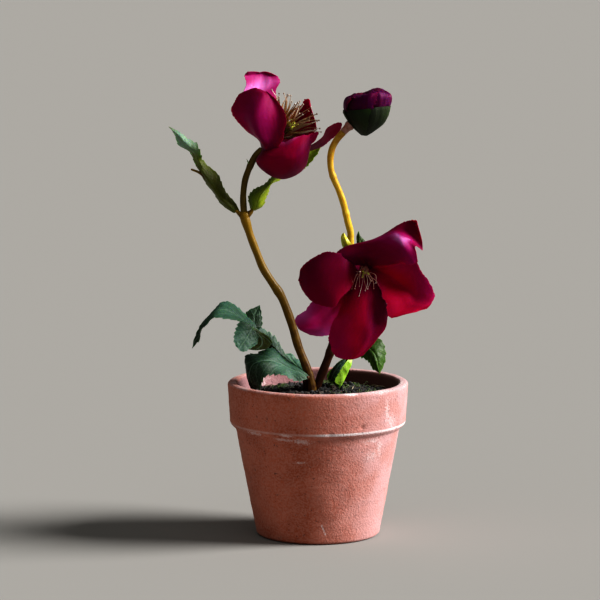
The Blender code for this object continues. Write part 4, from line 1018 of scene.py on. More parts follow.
OUTSIDE = [
    (30.5, 0), (32.0, 0.4), (32.9, 1.3), (33.15, 2.4), (43.3, 56.4), (43.8, 57.6), (45.0, 58.6), (46.0, 59.6),
    (46.5, 60.7), (47.9, 80.2), (47.7, 81.1), (47.1, 81.75), (46.3, 82.0), (44.5, 82.0), (43.6, 81.8),
    (43.0, 81.2), (42.6, 80.2), (41.2, 73.0),
]
CHIPS = [
    ((23.0, -40.7, 64.0), 1.1, 0.9), ((34.5, -33.5, 81.8), 1.5, 0.6), ((-12.0, -46.0, 81.8), 1.3, 0.5),
    ((5.9, -46.2, 60.6), 1.6, 0.5), ((-30.0, -34.0, 60.4), 2.2, 0.7), ((41.0, -21.5, 60.5), 1.8, 0.6),
    ((40.0, 26.0, 81.6), 2.0, 0.8), ((-46.0, 8.0, 60.6), 2.0, 0.7), ((-8.0, -40.0, 44.0), 1.0, 0.5),
    ((12.0, 45.5, 61.0), 1.8, 0.6), ((-20.0, -31.0, 20.0), 1.2, 0.45), ((27.0, -27.0, 33.0), 1.0, 0.4),
]

def thrown(radius, height, turn):
    """Slightly out of round, with finger rings and chips, and flat where it stands."""
    place = np.stack([radius * np.cos(turn), radius * np.sin(turn), height], axis=-1)
    free = blend(height, 0.0, 4.0)
    radius = radius + free * (0.20 * waves(place, 55.0, 3) + 0.10 * waves(place, 14.0, 4))
    rings = 0.03 * np.sin(height * 1.25 + 1.5 * np.sin(height * 0.21)) + 0.02 * waves(height[..., None], 2.4, 5)
    radius = radius + free * rings * blend(height, 81.0, 79.0)
    for centre, reach, depth in CHIPS:
        near = np.exp(-(((place - np.asarray(centre)) ** 2).sum(axis=-1) / reach**2) ** 1.5)
        radius = radius - depth * near
    lip = 0.12 * waves(place[..., :2], 40.0, 6) * blend(height, 78.0, 82.0)
    return radius, height + lip

BASE = [(0.0, 0.0), (15.0, 0.0)]
INSIDE = [(40.2, 68.0), (36.0, 46.0), (28.4, 8.0), (26.0, 6.0), (0.0, 6.0)]
VISIBLE_STEP = 0.75
profile = BASE + fine_profile(OUTSIDE, VISIBLE_STEP) + INSIDE
make_piece("pot_clay", "pot", terracotta, [turned(profile, 300, thrown)], 50.0)
print("pot profile:", len(profile), "points")

# %% [markdown]
# ## Soil, moss and straw
#
# The soil is a lumpy bed of peat that rises a little to the middle. Loose crumbs lie on it, with tufts of
# moss between the stems and a few dry straws. The bed's side goes down inside the pot and is closed below.

# %% Soil
from mathutils import noise

SOIL_RADIUS = 40.6
SOIL_LEVEL, SOIL_RISE, SOIL_BASE = 74.3, 3.0, 66.0

def soil_height(x, y):
    """The bed's height in millimetres at a place."""
    r = math.hypot(x, y) / SOIL_RADIUS
    p = Vector((x, y, 0.0))
    rough = 1.3 * noise.noise(p * 0.10) + 0.8 * noise.noise(p * 0.24) + 0.9 * noise.fractal(p * 0.5, 0.9, 2.1, 4)
    return SOIL_LEVEL + SOIL_RISE * (1.0 - r * r) + rough * (1.0 - 0.55 * r**6)

RINGS, SPOKES = 120, 300
points, tones = [], []
for ring in range(RINGS + 1):
    r = SOIL_RADIUS * (ring / RINGS) ** 0.8
    for spoke in range(SPOKES):
        a = math.tau * spoke / SPOKES
        x, y = r * math.cos(a), r * math.sin(a)
        points.append((x, y, soil_height(x, y)))
        tones.append(0.5 + 0.5 * noise.noise(Vector((x * 0.13, y * 0.13, 4.0))))
for r in (39.5, 0.0):
    for spoke in range(SPOKES):
        a = math.tau * spoke / SPOKES
        points.append((r * math.cos(a), r * math.sin(a), SOIL_BASE))
        tones.append(0.5)
points = np.array(points)
tint = np.stack([np.zeros(len(points)), np.full(len(points), 0.5), np.clip(tones, 0, 1) * 0.35], axis=-1)
bed = (points, grid_faces(RINGS + 3, SPOKES, True), np.tile((0.0, 0.0, FAR_FROM_MARGIN), (len(points), 1)), tint)

draw = np.random.default_rng(5)
crumbs = []
CRUMB_COUNT = 430
for k in range(CRUMB_COUNT):
    r, a = 39.0 * math.sqrt(draw.uniform()), draw.uniform(0.0, math.tau)
    size = 0.35 + 1.25 * draw.uniform() ** 3
    x, y = r * math.cos(a), r * math.sin(a)
    stretch = draw.uniform(0.6, 1.3, size=3)
    crumbs.append(lump((x, y, soil_height(x, y) + 0.25 * size), size, stretch, k, 0.22, 2, draw.uniform(0.0, 0.9)))
make_piece("soil_bed", "soil", peat, [bed] + crumbs, 80.0)
print("soil bed with", len(crumbs), "crumbs")

# %% Moss and straw
def fibre(x, y, length, rise, radius, turn, tone, seed):
    """A thin bent fibre that starts in the soil."""
    draw = np.random.default_rng(seed)
    ahead = np.array([math.cos(turn), math.sin(turn), 0.0])
    over = np.array([-math.sin(turn), math.cos(turn), 0.0])
    foot = np.array([x, y, soil_height(x, y) - 0.4])
    bend = draw.uniform(-0.3, 0.3)
    line = [
        foot, foot + ahead * length * 0.35 + (0, 0, rise),
        foot + ahead * length * 0.75 + over * bend * length + (0, 0, rise * draw.uniform(0.5, 1.1)),
        foot + ahead * length + over * 1.6 * bend * length + (0, 0, rise * 0.2),
    ]
    return tube(line, [radius, radius, radius * 0.6], 5, 0.9, (), 0.0, seed, tone)

TUFTS = [
    (12, 14, 9), (3, 24, 6), (19, 26, 6), (-20, 12, 7), (-12, -20, 7), (14, -18, 8), (28, -4, 6), (-28, -8, 5),
    (0, 33, 5),
]
FIBRES_IN_A_TUFT = 42
STRAWS = [
    (27, 25, 9, 0.2), (30, 22, 7, -0.5), (24, 29, 6, 0.9), (-24, 20, 8, 2.5), (5, -26, 9, 0.4),
    (-16, -28, 7, 2.9), (18, 6, 6, 1.2), (-31, 3, 6, 1.4), (10, 30, 8, 3.0), (30, -14, 7, 2.0),
]
draw = np.random.default_rng(8)
moss, straws = [], []
for x0, y0, reach in TUFTS:
    for k in range(FIBRES_IN_A_TUFT):
        x, y = x0 + reach * draw.normal() * 0.5, y0 + reach * draw.normal() * 0.5
        if math.hypot(x, y) < 38.0:
            size, rise, turn = draw.uniform(1.6, 4.6), draw.uniform(0.5, 2.3), draw.uniform(0, math.tau)
            moss.append(fibre(x, y, size, rise, 0.13, turn, draw.uniform(), len(moss)))
make_piece("moss_tufts", "soil", moss_green, moss, 80.0)
for x, y, length, turn in STRAWS:
    straws.append(fibre(x, y, length, 1.0, 0.28, turn, draw.uniform(0.3, 1.0), 900 + len(straws)))
make_piece("straws", "soil", straw_pale, straws, 80.0)
print("moss fibres:", len(moss), "straws:", len(straws))

# %% [markdown]
# ## The two stems
#
# The left stem leans out and ends in a node, where two bracts and the flower's stalk leave it. The right stem
# is darker and carries the lower bloom and the bud. The stalk's moulding left a small green scale halfway up.

# %% Left stem
LEFT_STEM = [
    (-3, -1.5, 60), (-3, -1.5, 69), (-3.1, -1.5, 77.5), (-4.2, -1.4, 83.5), (-6.8, -1.2, 91),
    (-10.5, -1, 100.5), (-14, -0.5, 112.5), (-17, 0, 121), (-20, 0, 128), (-24, 0.5, 134),
    (-29, 1, 142), (-32.5, 1, 150.5), (-35.7, 0.5, 159), (-38, 0, 166.5), (-39.2, 0, 170.5),
]
FLOWER_STALK = [
    (-39, 0, 169), (-39.5, -0.5, 177), (-39.5, -1, 181), (-39, -1, 186), (-38.2, -1, 190),
    (-36, -1, 196), (-34, -1, 200), (-31.9, -1, 202.9), (-29.6, -0.8, 205),
]
stem = tube(LEFT_STEM, [2.2, 2.2, 1.9], 24, 0.8, [(0.62, 0.25, 0.02), (0.97, 0.5, 0.04)], 0.035, 1)
make_piece("left_stem", "stem_left", olive_stem, [stem])
knot = lump((-39, 0, 170), 2.75, (0.95, 0.95, 1.2), 3, 0.05, 4, 0.5, 0.9)
BRACT_ARMS = [
    ([(-39, 0, 168.6), (-40.2, -0.4, 170.2), (-41.9, -0.7, 171.6), (-43.2, -0.9, 172.8)], [1.9, 1.4, 0.8]),
    ([(-39, 0, 168.6), (-37, 0.3, 170.6), (-35.3, 0.6, 172.1), (-34.4, 0.6, 174)], [2.0, 1.5, 0.7]),
]
arms = [tube(points, radii, 16, 0.4) for points, radii in BRACT_ARMS]
make_piece("left_node", "stem_left", olive_stem, [knot] + arms)
stalk = tube(FLOWER_STALK, [1.75, 1.6, 1.6, 1.85], 20, 0.7, [(0.72, 0.2, 0.03)], 0.05, 4)
make_piece("flower_stalk", "stem_left", brown_stalk, [stalk])
STALK_SCALE = [
    [(-35.6, -2.2, 197.4), (-36.1, -1.8, 197.2), (-36.3, -1.2, 197.1)],
    [(-36.6, -2.4, 198.6), (-37.0, -1.9, 198.4), (-37.0, -1.2, 198.4)],
    [(-37.6, -2.0, 200.2)],
]
patch = sheet(STALK_SCALE, 10, 8, 0.4, tones=((0, 1, 1),))
make_piece("stalk_scale", "stem_left", dark_leaf, [patch])

# %% Right stem
RIGHT_STEM = [
    (-0.6, 3.5, 60), (-0.6, 3.5, 69), (-0.5, 3.5, 77.5), (0.5, 3.4, 81.5), (1.8, 3.2, 85),
    (3.7, 2.8, 89.5), (7.2, 2.2, 99.5), (11, 1.4, 113.5), (14.5, 0.6, 133), (15.7, 0.2, 144),
    (17, 0, 153),
]
BUD_STALK = [
    (17, 0, 152), (17, 0, 157), (17, 0, 161), (15.5, -1, 167), (14, -1.5, 173.5),
    (12.5, -2, 179), (10.5, -2, 184.5), (8.5, -2, 189), (6.7, -2, 194.5), (6.3, -2, 200),
    (7, -2, 205), (8.5, -2, 208.5), (10.5, -2, 211.5), (13, -2, 214.2),
]
PEDICEL = [(17, 0, 152.5), (19.5, -1, 150.5), (22.8, -3.8, 147.6), (24.5, -8, 145.6)]
stem = tube(RIGHT_STEM, [2.2, 2.2, 1.95], 24, 0.8, [(0.40, 0.3, 0.02), (0.97, 0.5, 0.05)], 0.035, 2)
make_piece("right_stem", "stem_right", red_stem, [stem])
knot = lump((17, 0, 152.8), 2.75, (0.95, 0.95, 1.2), 6, 0.05, 4, 0.5, 0.02)
stalk = tube(BUD_STALK, [1.9, 1.65, 1.6, 1.75], 20, 0.7, [(0.30, 0.25, 0.02), (0.62, 0.2, 0.015)], 0.05, 7)
make_piece("bud_stalk", "stem_right", amber_stalk, [stalk, knot])
make_piece("pedicel", "stem_right", green_stalk, [tube(PEDICEL, [1.6, 1.6], 16, 0.5)])
print("stems built")

# %% [markdown]
# ## Leaves
#
# The tall leaf leaves the soil on the left and arches over the rim. Its long middle lobe bends down past its
# highest point, and shorter lobes stand up and hang beside it, where a narrow fold shows the olive underside.
# The low leaf stands before it, with the same toothed margin. Each lobe is a sheet of its own, overlapping its
# neighbours at the foot.

# %% Tall leaf
LEAF_STEP, LEAF_COLUMNS, LEAF_THICKNESS = 0.33, 40, 0.42

def leaf_piece(name, node, rows, seed, material, slot="leaf_green", tones=((0, 0.5, 0.5),), facing=(0, -0.4, 1),
               pitch=7.0, tooth=(3.7, 1.25), **shape):
    """One moulded blade with side veins pitch apart; tooth gives (pitch, depth) of its teeth, or None."""
    middle = running_length(np.array([row[len(row) // 2] for row in rows], dtype=float))[-1]
    along = max(60, int(middle / LEAF_STEP))
    margin = saw_teeth(seed, *tooth) if tooth else None
    relief = leaf_relief(seed, pitch, **shape)
    patch = sheet(rows, along, LEAF_COLUMNS, LEAF_THICKNESS, relief, margin, tones, facing)
    make_piece(name, node, material, [patch], 70.0)

def petiole(name, node, points, radii, material=red_stem, tone=0.5):
    """The short stalk between the soil or a stem and a leaf."""
    make_piece(name, node, material, [tube(points, radii, 14, 0.6, tone=tone)])

ARCHING_LOBE = [
    [(-8, 3, 86), (-8.5, 1.5, 85.5), (-9.5, 0, 86)],
    [(-17, 7, 94.5), (-18, 4, 93), (-19.5, 2, 96.5)],
    [(-24, 7, 104.5), (-26.5, 3, 100), (-27.5, -2, 104.5)],
    [(-30, 6, 109.5), (-32.5, 1, 106), (-32.5, -5, 109.5)],
    [(-35, 5, 113), (-36, 0, 112), (-36.5, -5, 112.5)],
    [(-40, 6, 118), (-41.5, -2, 116), (-42, -9, 115.5)],
    [(-45.5, 5, 122), (-47, -4, 119.5), (-49, -12, 117)],
    [(-51, 3, 123), (-52.5, -5, 121), (-55, -12, 117.5)],
    [(-55.5, 1, 118.5), (-57, -5, 118), (-58.5, -10, 115)],
    [(-61, -1, 112), (-61.5, -5, 111), (-62, -8, 110.5)],
    [(-63.5, -2, 108.5), (-63, -5, 106.5), (-62, -8, 106)],
    [(-66, -3, 104), (-65.5, -4, 103.5), (-64.5, -5, 102.5)],
    [(-66.5, -4, 100)],
]
leaf_piece("arching_lobe", "leaf_tall", ARCHING_LOBE, 21, green_leaf,
           tones=((0, 0.3, 0.2), (0.25, 0.6, 0.3), (0.5, 1.0, 0.8), (0.72, 0.9, 0.7), (0.85, 0.25, 0.2), (1, 0.0, 0.0)))

# %% Lobes beside the arch
UPRIGHT_LOBE = [
    [(-36, 3, 111), (-35, 3, 110.5), (-34, 3, 110)],
    [(-38, 7, 114), (-34.5, 6, 113.5), (-30.5, 5, 110)],
    [(-38, 9, 117), (-33.5, 8, 116.5), (-30, 7, 114)],
    [(-35, 10, 119), (-32.5, 10, 119), (-30.5, 9, 117.5)],
    [(-31, 11, 121)],
]
HANGING_LOBE = [
    [(-41.0, -9, 115.6), (-38.0, -8, 114.2), (-35.2, -7, 111.8), (-32.6, -6, 108.2), (-30.6, -5, 104.6)],
    [(-42.4, -11.5, 111.8), (-39.8, -11, 110), (-37.2, -10, 107.6), (-34.4, -8.5, 105.2), (-32, -7, 103.2)],
    [(-43.5, -14, 109), (-41, -13.5, 107.2), (-38.6, -12.5, 105), (-36, -11, 103.2), (-34, -9.5, 102.2)],
    [(-43.9, -16, 106.2), (-42, -15.5, 104.4), (-40, -14.5, 102.8), (-38, -13.5, 101.6), (-36.6, -12.5, 101)],
    [(-43.2, -17, 103.2), (-42, -16.8, 101.8), (-41, -16.4, 100.6), (-40, -16, 100), (-39.2, -15.5, 99.8)],
]
LEAF_FOLD = [
    [(-37.6, -6, 112.2), (-36.5, -6, 112.0), (-35.4, -6, 111.6)],
    [(-35, -5.5, 108.8), (-33, -5.2, 109.2), (-31, -5, 109.2)],
    [(-33, -6, 104.6), (-29.8, -5.6, 105.6), (-26.8, -5.2, 106.6)],
    [(-35, -7.2, 102.2), (-30, -6.8, 102.4), (-24.5, -6.2, 103.4)],
    [(-38.2, -9, 100.4), (-33, -8.4, 99.6), (-27.5, -7.6, 100.0)],
]
leaf_piece("leaf_fold", "leaf_tall", LEAF_FOLD, 24, green_leaf, pitch=5.0, quilt=0.1, groove=0.1,
           tooth=(3.0, 0.5), facing=(0, 1, -0.3))
BACK_LOBE = [
    [(-9, 1, 85.5), (-8.5, 2.5, 85), (-8, 4, 85)],
    [(-13.5, 6, 89), (-11, 8, 88.5), (-8.5, 9, 88)],
    [(-16.5, 9, 93), (-14, 11, 91.5), (-10.5, 12, 91)],
    [(-17, 10, 94.5), (-15, 12, 93.5), (-12.5, 13, 93)],
    [(-14.5, 12, 95)],
]
leaf_piece("upright_lobe", "leaf_tall", UPRIGHT_LOBE, 22, green_leaf, pitch=5.0, quilt=0.08, groove=0.16,
           tooth=(2.7, 0.9), tones=((0, 0.2, 0.2), (1, 0.4, 0.4)))
# Painted light: the hanging lobe is toned up to look lit.
leaf_piece("hanging_lobe", "leaf_tall", HANGING_LOBE, 23, green_leaf, pitch=5.0, quilt=0.12, groove=0.2,
           tooth=(2.7, 1.0), facing=(0.3, -1, 0.2), tones=((0, 0.6, 0.4), (0.5, 1.0, 0.8), (1, 1.0, 1.0)))
# Painted light: the back lobe is toned up to look lit.
leaf_piece("back_lobe", "leaf_tall", BACK_LOBE, 24, green_leaf, pitch=5.0, tones=((0, 0.7, 0.7), (1, 0.9, 0.9)))
TALL_LEAF_PETIOLE = [(-6.6, 3.2, 68.0), (-6.7, 3.2, 79.0), (-7.4, 2.8, 83.0), (-9.0, 2.0, 86.5)]
petiole("tall_petiole", "leaf_tall", TALL_LEAF_PETIOLE, [1.4, 1.3, 1.0])

# %% Low leaf
LOW_LEAF = [
    [(-4.7, -4.6, 85.4), (-5.2, -5.1, 84.6), (-5.5, -5.6, 83.8)],
    [(-11, -2, 90), (-9.5, -5, 87.5), (-9.5, -8, 83.5)],
    [(-16.5, -1, 93.5), (-15, -5, 89.5), (-14.5, -9, 84.5)],
    [(-22, -1, 99), (-20, -7, 90.5), (-19.5, -12, 87.5)],
    [(-27.5, -2, 99.5), (-25.5, -9, 93), (-24.5, -13, 88)],
    [(-33, -2, 97), (-30.5, -11, 93.5), (-28.5, -14, 86.5)],
    [(-37.5, -1, 95.5), (-34.5, -11, 91.5), (-30, -14, 83.5)],
    [(-39, -3, 91.5), (-36, -12, 86.5), (-31, -14, 80.5)],
    [(-38.5, -4, 86.5), (-36, -11, 82.5), (-33.5, -12, 80)],
    [(-35.5, -9, 79)],
]
LOW_LEAF_PETIOLE = [(-5.0, 1.4, 68.0), (-5.1, 1.2, 77.0), (-6.0, -1.2, 81.5), (-5.4, -5.1, 84.8)]
# Painted light and shade: lit in the middle, near black at the left end, which curls away from the light.
leaf_piece("low_blade", "leaf_low", LOW_LEAF, 25, green_leaf, facing=(0, -1, 0.6), pitch=8.0, quilt=0.10, groove=0.24,
           tones=((0, 0.7, 0.6), (0.35, 1.0, 0.8), (0.6, 0.6, 0.4), (0.8, 0.1, 0.1), (1, 0.0, 0.0)))
petiole("low_petiole", "leaf_low", LOW_LEAF_PETIOLE, [1.3, 1.2, 0.9])

# %% Lime leaf
LIME_LEAF = [
    [(10.5, 8, 78), (11.5, 9, 78), (12, 8, 78.3), (11.5, 7, 78.5)],
    [(6, 8, 80.5), (10, 11, 80), (14, 8, 80.8), (9, 5, 80.5)],
    [(5, 9, 84), (10.5, 13, 84), (15.4, 9, 84), (9.8, 4.6, 83.8)],
    [(8.5, 10, 88), (12.5, 13, 88), (17.2, 9, 87.6), (12.2, 5.4, 87.6)],
    [(12, 11, 91), (14.5, 13, 91), (18.2, 10, 91), (15, 7.5, 91)],
    [(18.2, 12, 94)],
]
LIME_FOLD = [
    [(7.6, 5.6, 80.5), (6.7, 5.5, 81.4), (5.8, 6, 82.2)],
    [(9.3, 4.3, 83.2), (8, 4.2, 84.2), (6.5, 5.2, 85.2)],
    [(11.3, 4.6, 86.4), (10, 4.8, 87.4), (8.5, 6, 88.2)],
    [(13.5, 6.2, 89.6), (12.4, 6.4, 90.4), (11.2, 7.2, 91)],
    [(15.2, 8, 93)],
]
LIME_LEAF_PETIOLE = [(10.5, 8, 68), (10.8, 8, 76), (11.2, 8, 79), (11.6, 8, 80.5)]
# Painted light and shade: a lit rim on the right of the rolled leaf, darker in the middle.
LIME_TONES = (
    (0, 0.2, 0.1, 0.45, 0.7), (0.4, 0.7, 0.2, 0.45, 0.95), (0.7, 0.5, 0.3, 0.8, 1.0), (1, 0.5, 0.6, 1.0, 1.0),
)
patch = sheet(LIME_LEAF, 70, 60, 0.45, leaf_relief(26, 5.0, 1.1, 0.24, 0.5, 0.3), None, LIME_TONES, (-0.5, -1, 0))
make_piece("lime_blade", "leaf_lime", lime_leaf, [patch], 70.0)
leaf_piece("lime_fold", "leaf_lime", LIME_FOLD, 28, green_leaf, "lime_green",
           ((0, 0.3, 0.0), (0.5, 0.9, 0.1), (1, 1.0, 0.3)), (-0.3, -1, 0.3), 2.6, (2.2, 0.5))
petiole("lime_petiole", "leaf_lime", LIME_LEAF_PETIOLE, [1.35, 1.3, 1.2], lime_leaf, 0.2)

# %% Right leaf
RIGHT_LEAF = [
    [(25.5, 3, 104.5), (24, 2, 103), (22.5, 3, 101)],
    [(30, 4, 104.5), (26.5, 0, 99.5), (22.5, 3, 95.5)],
    [(34, 3, 101.5), (29, -2, 96.5), (25.5, 2, 93)],
    [(35.5, 2, 96.5), (30.5, -3, 93), (27.5, 1, 91)],
    [(35, 1, 91.5), (31.5, -3, 90), (29, 0, 88.5)],
    [(32.5, -2, 86)],
]
RIGHT_LEAF_PETIOLE = [(13.4, 1.6, 112), (17.5, 2.6, 112), (21.2, 3, 108), (24.4, 1.9, 102.4)]
leaf_piece("right_blade", "leaf_right", RIGHT_LEAF, 27, dark_leaf, tones=((0, 0.4, 0.7), (1, 0.7, 0.9)),
           facing=(0, -1, 0.5), pitch=4.2, tooth=(2.6, 1.0))
petiole("right_petiole", "leaf_right", RIGHT_LEAF_PETIOLE, [1.3, 1.1, 0.7], material=green_stalk)
print("leaves built")

# %% [markdown]
# ## Bracts and the sprout
#
# Two bracts leave the left node: a long one that reaches far out to the left, and a folded one behind the
# bloom. A short dark bract and a yellow sprout sit at the right node.

# %% Bracts
LEFT_BRACT = [
    [(-41.5, -0.5, 173), (-43, -1, 172), (-44.5, -0.5, 171.5)],
    [(-43.5, 2, 176), (-46, -2, 175), (-48.5, 1, 174)],
    [(-47.5, 3, 180.5), (-50.5, -3, 179), (-53, 2, 178)],
    [(-50.5, 3, 185.5), (-54, -4, 184), (-56.5, 2, 183.5)],
    [(-52.5, 3, 191), (-57, -4, 189), (-60, 1, 189.5)],
    [(-57, 2, 195), (-60.5, -3, 194), (-63, 1, 194.5)],
    [(-61, -1, 199.5), (-62.5, -2, 198.5), (-65, 3, 199)],
    [(-62, -3, 203.5), (-64.5, -2, 203), (-68, 3, 203)],
    [(-64.5, -3, 208.5), (-68, -4, 206.5), (-71.5, 1, 206)],
    [(-69.5, -2, 211.5), (-71.5, -4, 210.5), (-73.5, 0, 209)],
    [(-74.5, -1, 214.5), (-75, -2, 214), (-75.5, -1, 213.5)],
    [(-78.5, -1, 217)],
]
BRACT_TWIG = [(-58.5, -0.5, 189), (-62, 0, 192.5), (-66.8, 0.5, 194.5)]
# Dark olive at the base and pale teal at the tip: partly its two printed faces, partly painted shade and light.
leaf_piece("left_bract_blade", "bract_left", LEFT_BRACT, 31, bract_leaf, facing=(0.3, -1, 0.5), pitch=6.0,
           quilt=0.10, groove=0.22, tooth=(3.6, 0.9),
           tones=((0, 0.0, 0.0), (0.45, 0.1, 0.1), (0.62, 0.6, 0.5), (0.78, 1.0, 0.9), (1, 1.0, 1.0)))
make_piece("bract_twig", "bract_left", olive_stem, [tube(BRACT_TWIG, [0.8, 0.75, 0.5], 10, 0.5)])
RIGHT_BRACT = [
    [(-35.8, 1, 173.5), (-34.5, 0, 173), (-33.2, 2, 172.5)],
    [(-36.2, 2, 176.5), (-32.5, -3, 175.5), (-29.5, 1, 175)],
    [(-36, 3, 180.5), (-31, -4, 180), (-28, 1, 179.5)],
    [(-33, 4, 183.5), (-28.5, -2, 183.5), (-26, 3, 182.5)],
    [(-28.5, 6, 186), (-25.5, 2, 186.5), (-24, 6, 186.5)],
    [(-25, 9, 188.5), (-23.5, 6, 188), (-21.5, 9, 188)],
    [(-19.5, 13, 194.5), (-17.5, 10, 193), (-16, 12, 190.5)],
    [(-13.5, 15, 200), (-11, 13, 197.5), (-9.5, 13, 193.5)],
    [(-7.5, 16, 202.5), (-6, 15, 200), (-5.5, 13, 195.5)],
    [(-2, 16, 204), (-1.5, 16, 202.5), (-0.5, 14, 201.5)],
    [(2, 16, 205.5)],
]
# Painted light: the right bract is toned bright for the window's glow through it.
leaf_piece("right_bract_blade", "bract_right", RIGHT_BRACT, 32, bright_leaf, facing=(0.2, -1, 0.3), pitch=6.0,
           tooth=(2.6, 1.3), tones=((0, 0.5, 1.0), (0.3, 0.4, 1.0), (0.55, 0.5, 0.9), (1, 0.9, 1.0)))
DARK_BRACT = [
    [(18.3, 2, 149), (19.3, 2.2, 148.5), (20.3, 2.2, 148.3)],
    [(19, 4, 152), (21, 3, 151.5), (23.5, 4, 151.5)],
    [(20.5, 5, 155), (22, 4, 155), (25, 5, 155.5)],
    [(20.5, 6, 158), (22, 5, 158.5), (23, 6, 158)],
    [(21.5, 7, 161)],
]
leaf_piece("dark_bract_blade", "bract_dark", DARK_BRACT, 33, dark_leaf, tones=((0, 0, 0), (1, 0.3, 0.3)),
           pitch=3.5, tooth=None)
SPROUT = [
    [(14.3, -2.6, 151.5), (15.1, -3.1, 151.6), (16, -3.3, 151.8)],
    [(12.5, -5, 155), (14.5, -7, 155.5), (17, -6, 156)],
    [(12, -5, 158.5), (14, -7, 158), (15.5, -6, 158.5)],
    [(12.5, -4, 160.5), (13.5, -5, 160.5), (14.5, -5, 160)],
    [(13.5, -4, 161.5)],
]
patch = sheet(SPROUT, 60, 30, 0.45, leaf_relief(34, 3.5, 1.3, 0.12, 0.3, 0.2), None,
              ((0, 0.2, 0.5), (1, 0.8, 1.0)), (0, -1, 0.2))
make_piece("sprout_blade", "sprout", sheath_yellow, [patch], 70.0)
print("bracts built")

# %% [markdown]
# ## The upper bloom
#
# Five petals of satin round a small heart. The front petal stands up with a lengthwise ridge, and the one
# behind it curls back at its crimped top. A cupped petal holds the stamens from below, a fourth closes the
# back on the right, and the last one is twisted and reaches out beyond the others.

# %% Petal maker
def petal(name, node, rows, tones, seed, creases=(), fold=0.3, frill=0.5, facing=(0, -1, 0), material=crimson_satin):
    """One satin petal; tones that paint light and shade run across it left to right and along it root to tip."""
    patch = sheet(rows, 96, 64, 0.38, cloth_relief(seed, fold, frill, 0.02, creases), cut_cloth(seed), tones, facing)
    make_piece(name, node, material, [patch], 75.0)

print("petal maker ready")

# %% Upper bloom, front petal
FRONT_PETAL = [
    [(-29.8, -6, 206.5), (-28.6, -9, 205.5), (-26.5, -11.5, 204.5), (-24, -12, 203.8), (-21.5, -12.5, 203.8)],
    [(-31.2, -7, 210.5), (-30, -11.5, 209.8), (-28.4, -15, 209), (-23.6, -13.8, 208.2), (-20.6, -14.6, 207.6)],
    [(-36.2, -8.5, 214.8), (-33.8, -12.5, 214.4), (-31.2, -18, 214), (-22.8, -15.2, 213.4), (-18.4, -16.4, 212.6)],
    [(-41, -9.5, 219), (-37, -13, 219), (-32.6, -19.4, 219), (-22.2, -15.8, 218.6), (-17.3, -16.8, 218)],
    [(-45, -9.2, 224.2), (-39.2, -12.8, 224.2), (-32.8, -19.4, 224.4), (-22, -15.4, 224), (-17.1, -16.4, 223.2)],
    [(-44.6, -8, 229.8), (-38.6, -11.8, 230), (-31.2, -17.2, 230.2), (-23.2, -13.6, 229.8), (-19.9, -14.4, 229.8)],
    [(-40.4, -8, 235), (-36, -10, 235.4), (-29.4, -13.4, 235.2), (-26.2, -11.8, 234.8), (-24.4, -12.8, 234)],
    [(-35.4, -8.5, 237.4), (-33.8, -9, 237.9), (-32.2, -9.5, 238.1), (-30.2, -9.5, 237.8), (-28.6, -10, 237)],
]
# Painted light: a broad lit magenta band down the ridge, with darker sides.
petal("front_petal", "bloom_upper", FRONT_PETAL, (
    (0, 0.3, 0.3, 0.4, 0.4, 0.4, 0.2, 0.2), (0.25, 0.50, 0.64, 0.62, 0.66, 0.66, 0.5, 0.25),
    (0.55, 0.42, 0.62, 0.62, 0.64, 0.68, 0.48, 0.22), (0.8, 0.32, 0.52, 0.56, 0.60, 0.60, 0.42, 0.2),
    (1, 0.15, 0.2, 0.25, 0.3, 0.3, 0.25, 0.15),
), 41, (), 0.15, 0.35, material=magenta_satin)

# %% Upper bloom, back petal
BACK_PETAL = [
    [(-28.5, 2, 207.5), (-26.5, 3, 208.5), (-23.5, 3, 208.5)],
    [(-36, 4, 217.5), (-27.5, 10, 218), (-20, 11, 218)],
    [(-40.5, 4.5, 227), (-29.5, 13.5, 227.5), (-21, 16, 227.5)],
    [(-39.5, 7.5, 234), (-30, 17.5, 234.5), (-22, 20.5, 234.5)],
    [(-38, 12, 239), (-29.5, 22, 239.3), (-20.4, 24.5, 238.6)],
    [(-38.3, 14, 242.8), (-29.5, 24, 243.2), (-20.8, 26, 241.6)],
    [(-36.5, 13, 244.3), (-30, 22, 244.6), (-24, 24.5, 243.6)],
]
# Painted light: the upper part, turned up to the window, runs to rose.
petal("back_petal", "bloom_upper", BACK_PETAL, (
    (0, 0.5, 0.5, 0.5), (0.4, 0.7, 0.75, 0.62), (0.62, 0.82, 0.86, 0.62), (0.76, 0.92, 1.0, 0.76),
    (0.86, 0.78, 0.90, 0.82), (0.95, 0.70, 0.76, 0.72), (1, 0.56, 0.6, 0.56),
), 42, [
    ([(0.68, -0.55), (0.98, -0.5)], 0.3, 1.5), ([(0.62, 0.0), (1.0, 0.1)], -0.25, 1.8),
    ([(0.70, 0.5), (0.98, 0.42)], 0.3, 1.5),
], 0.4, 0.9, material=magenta_satin)

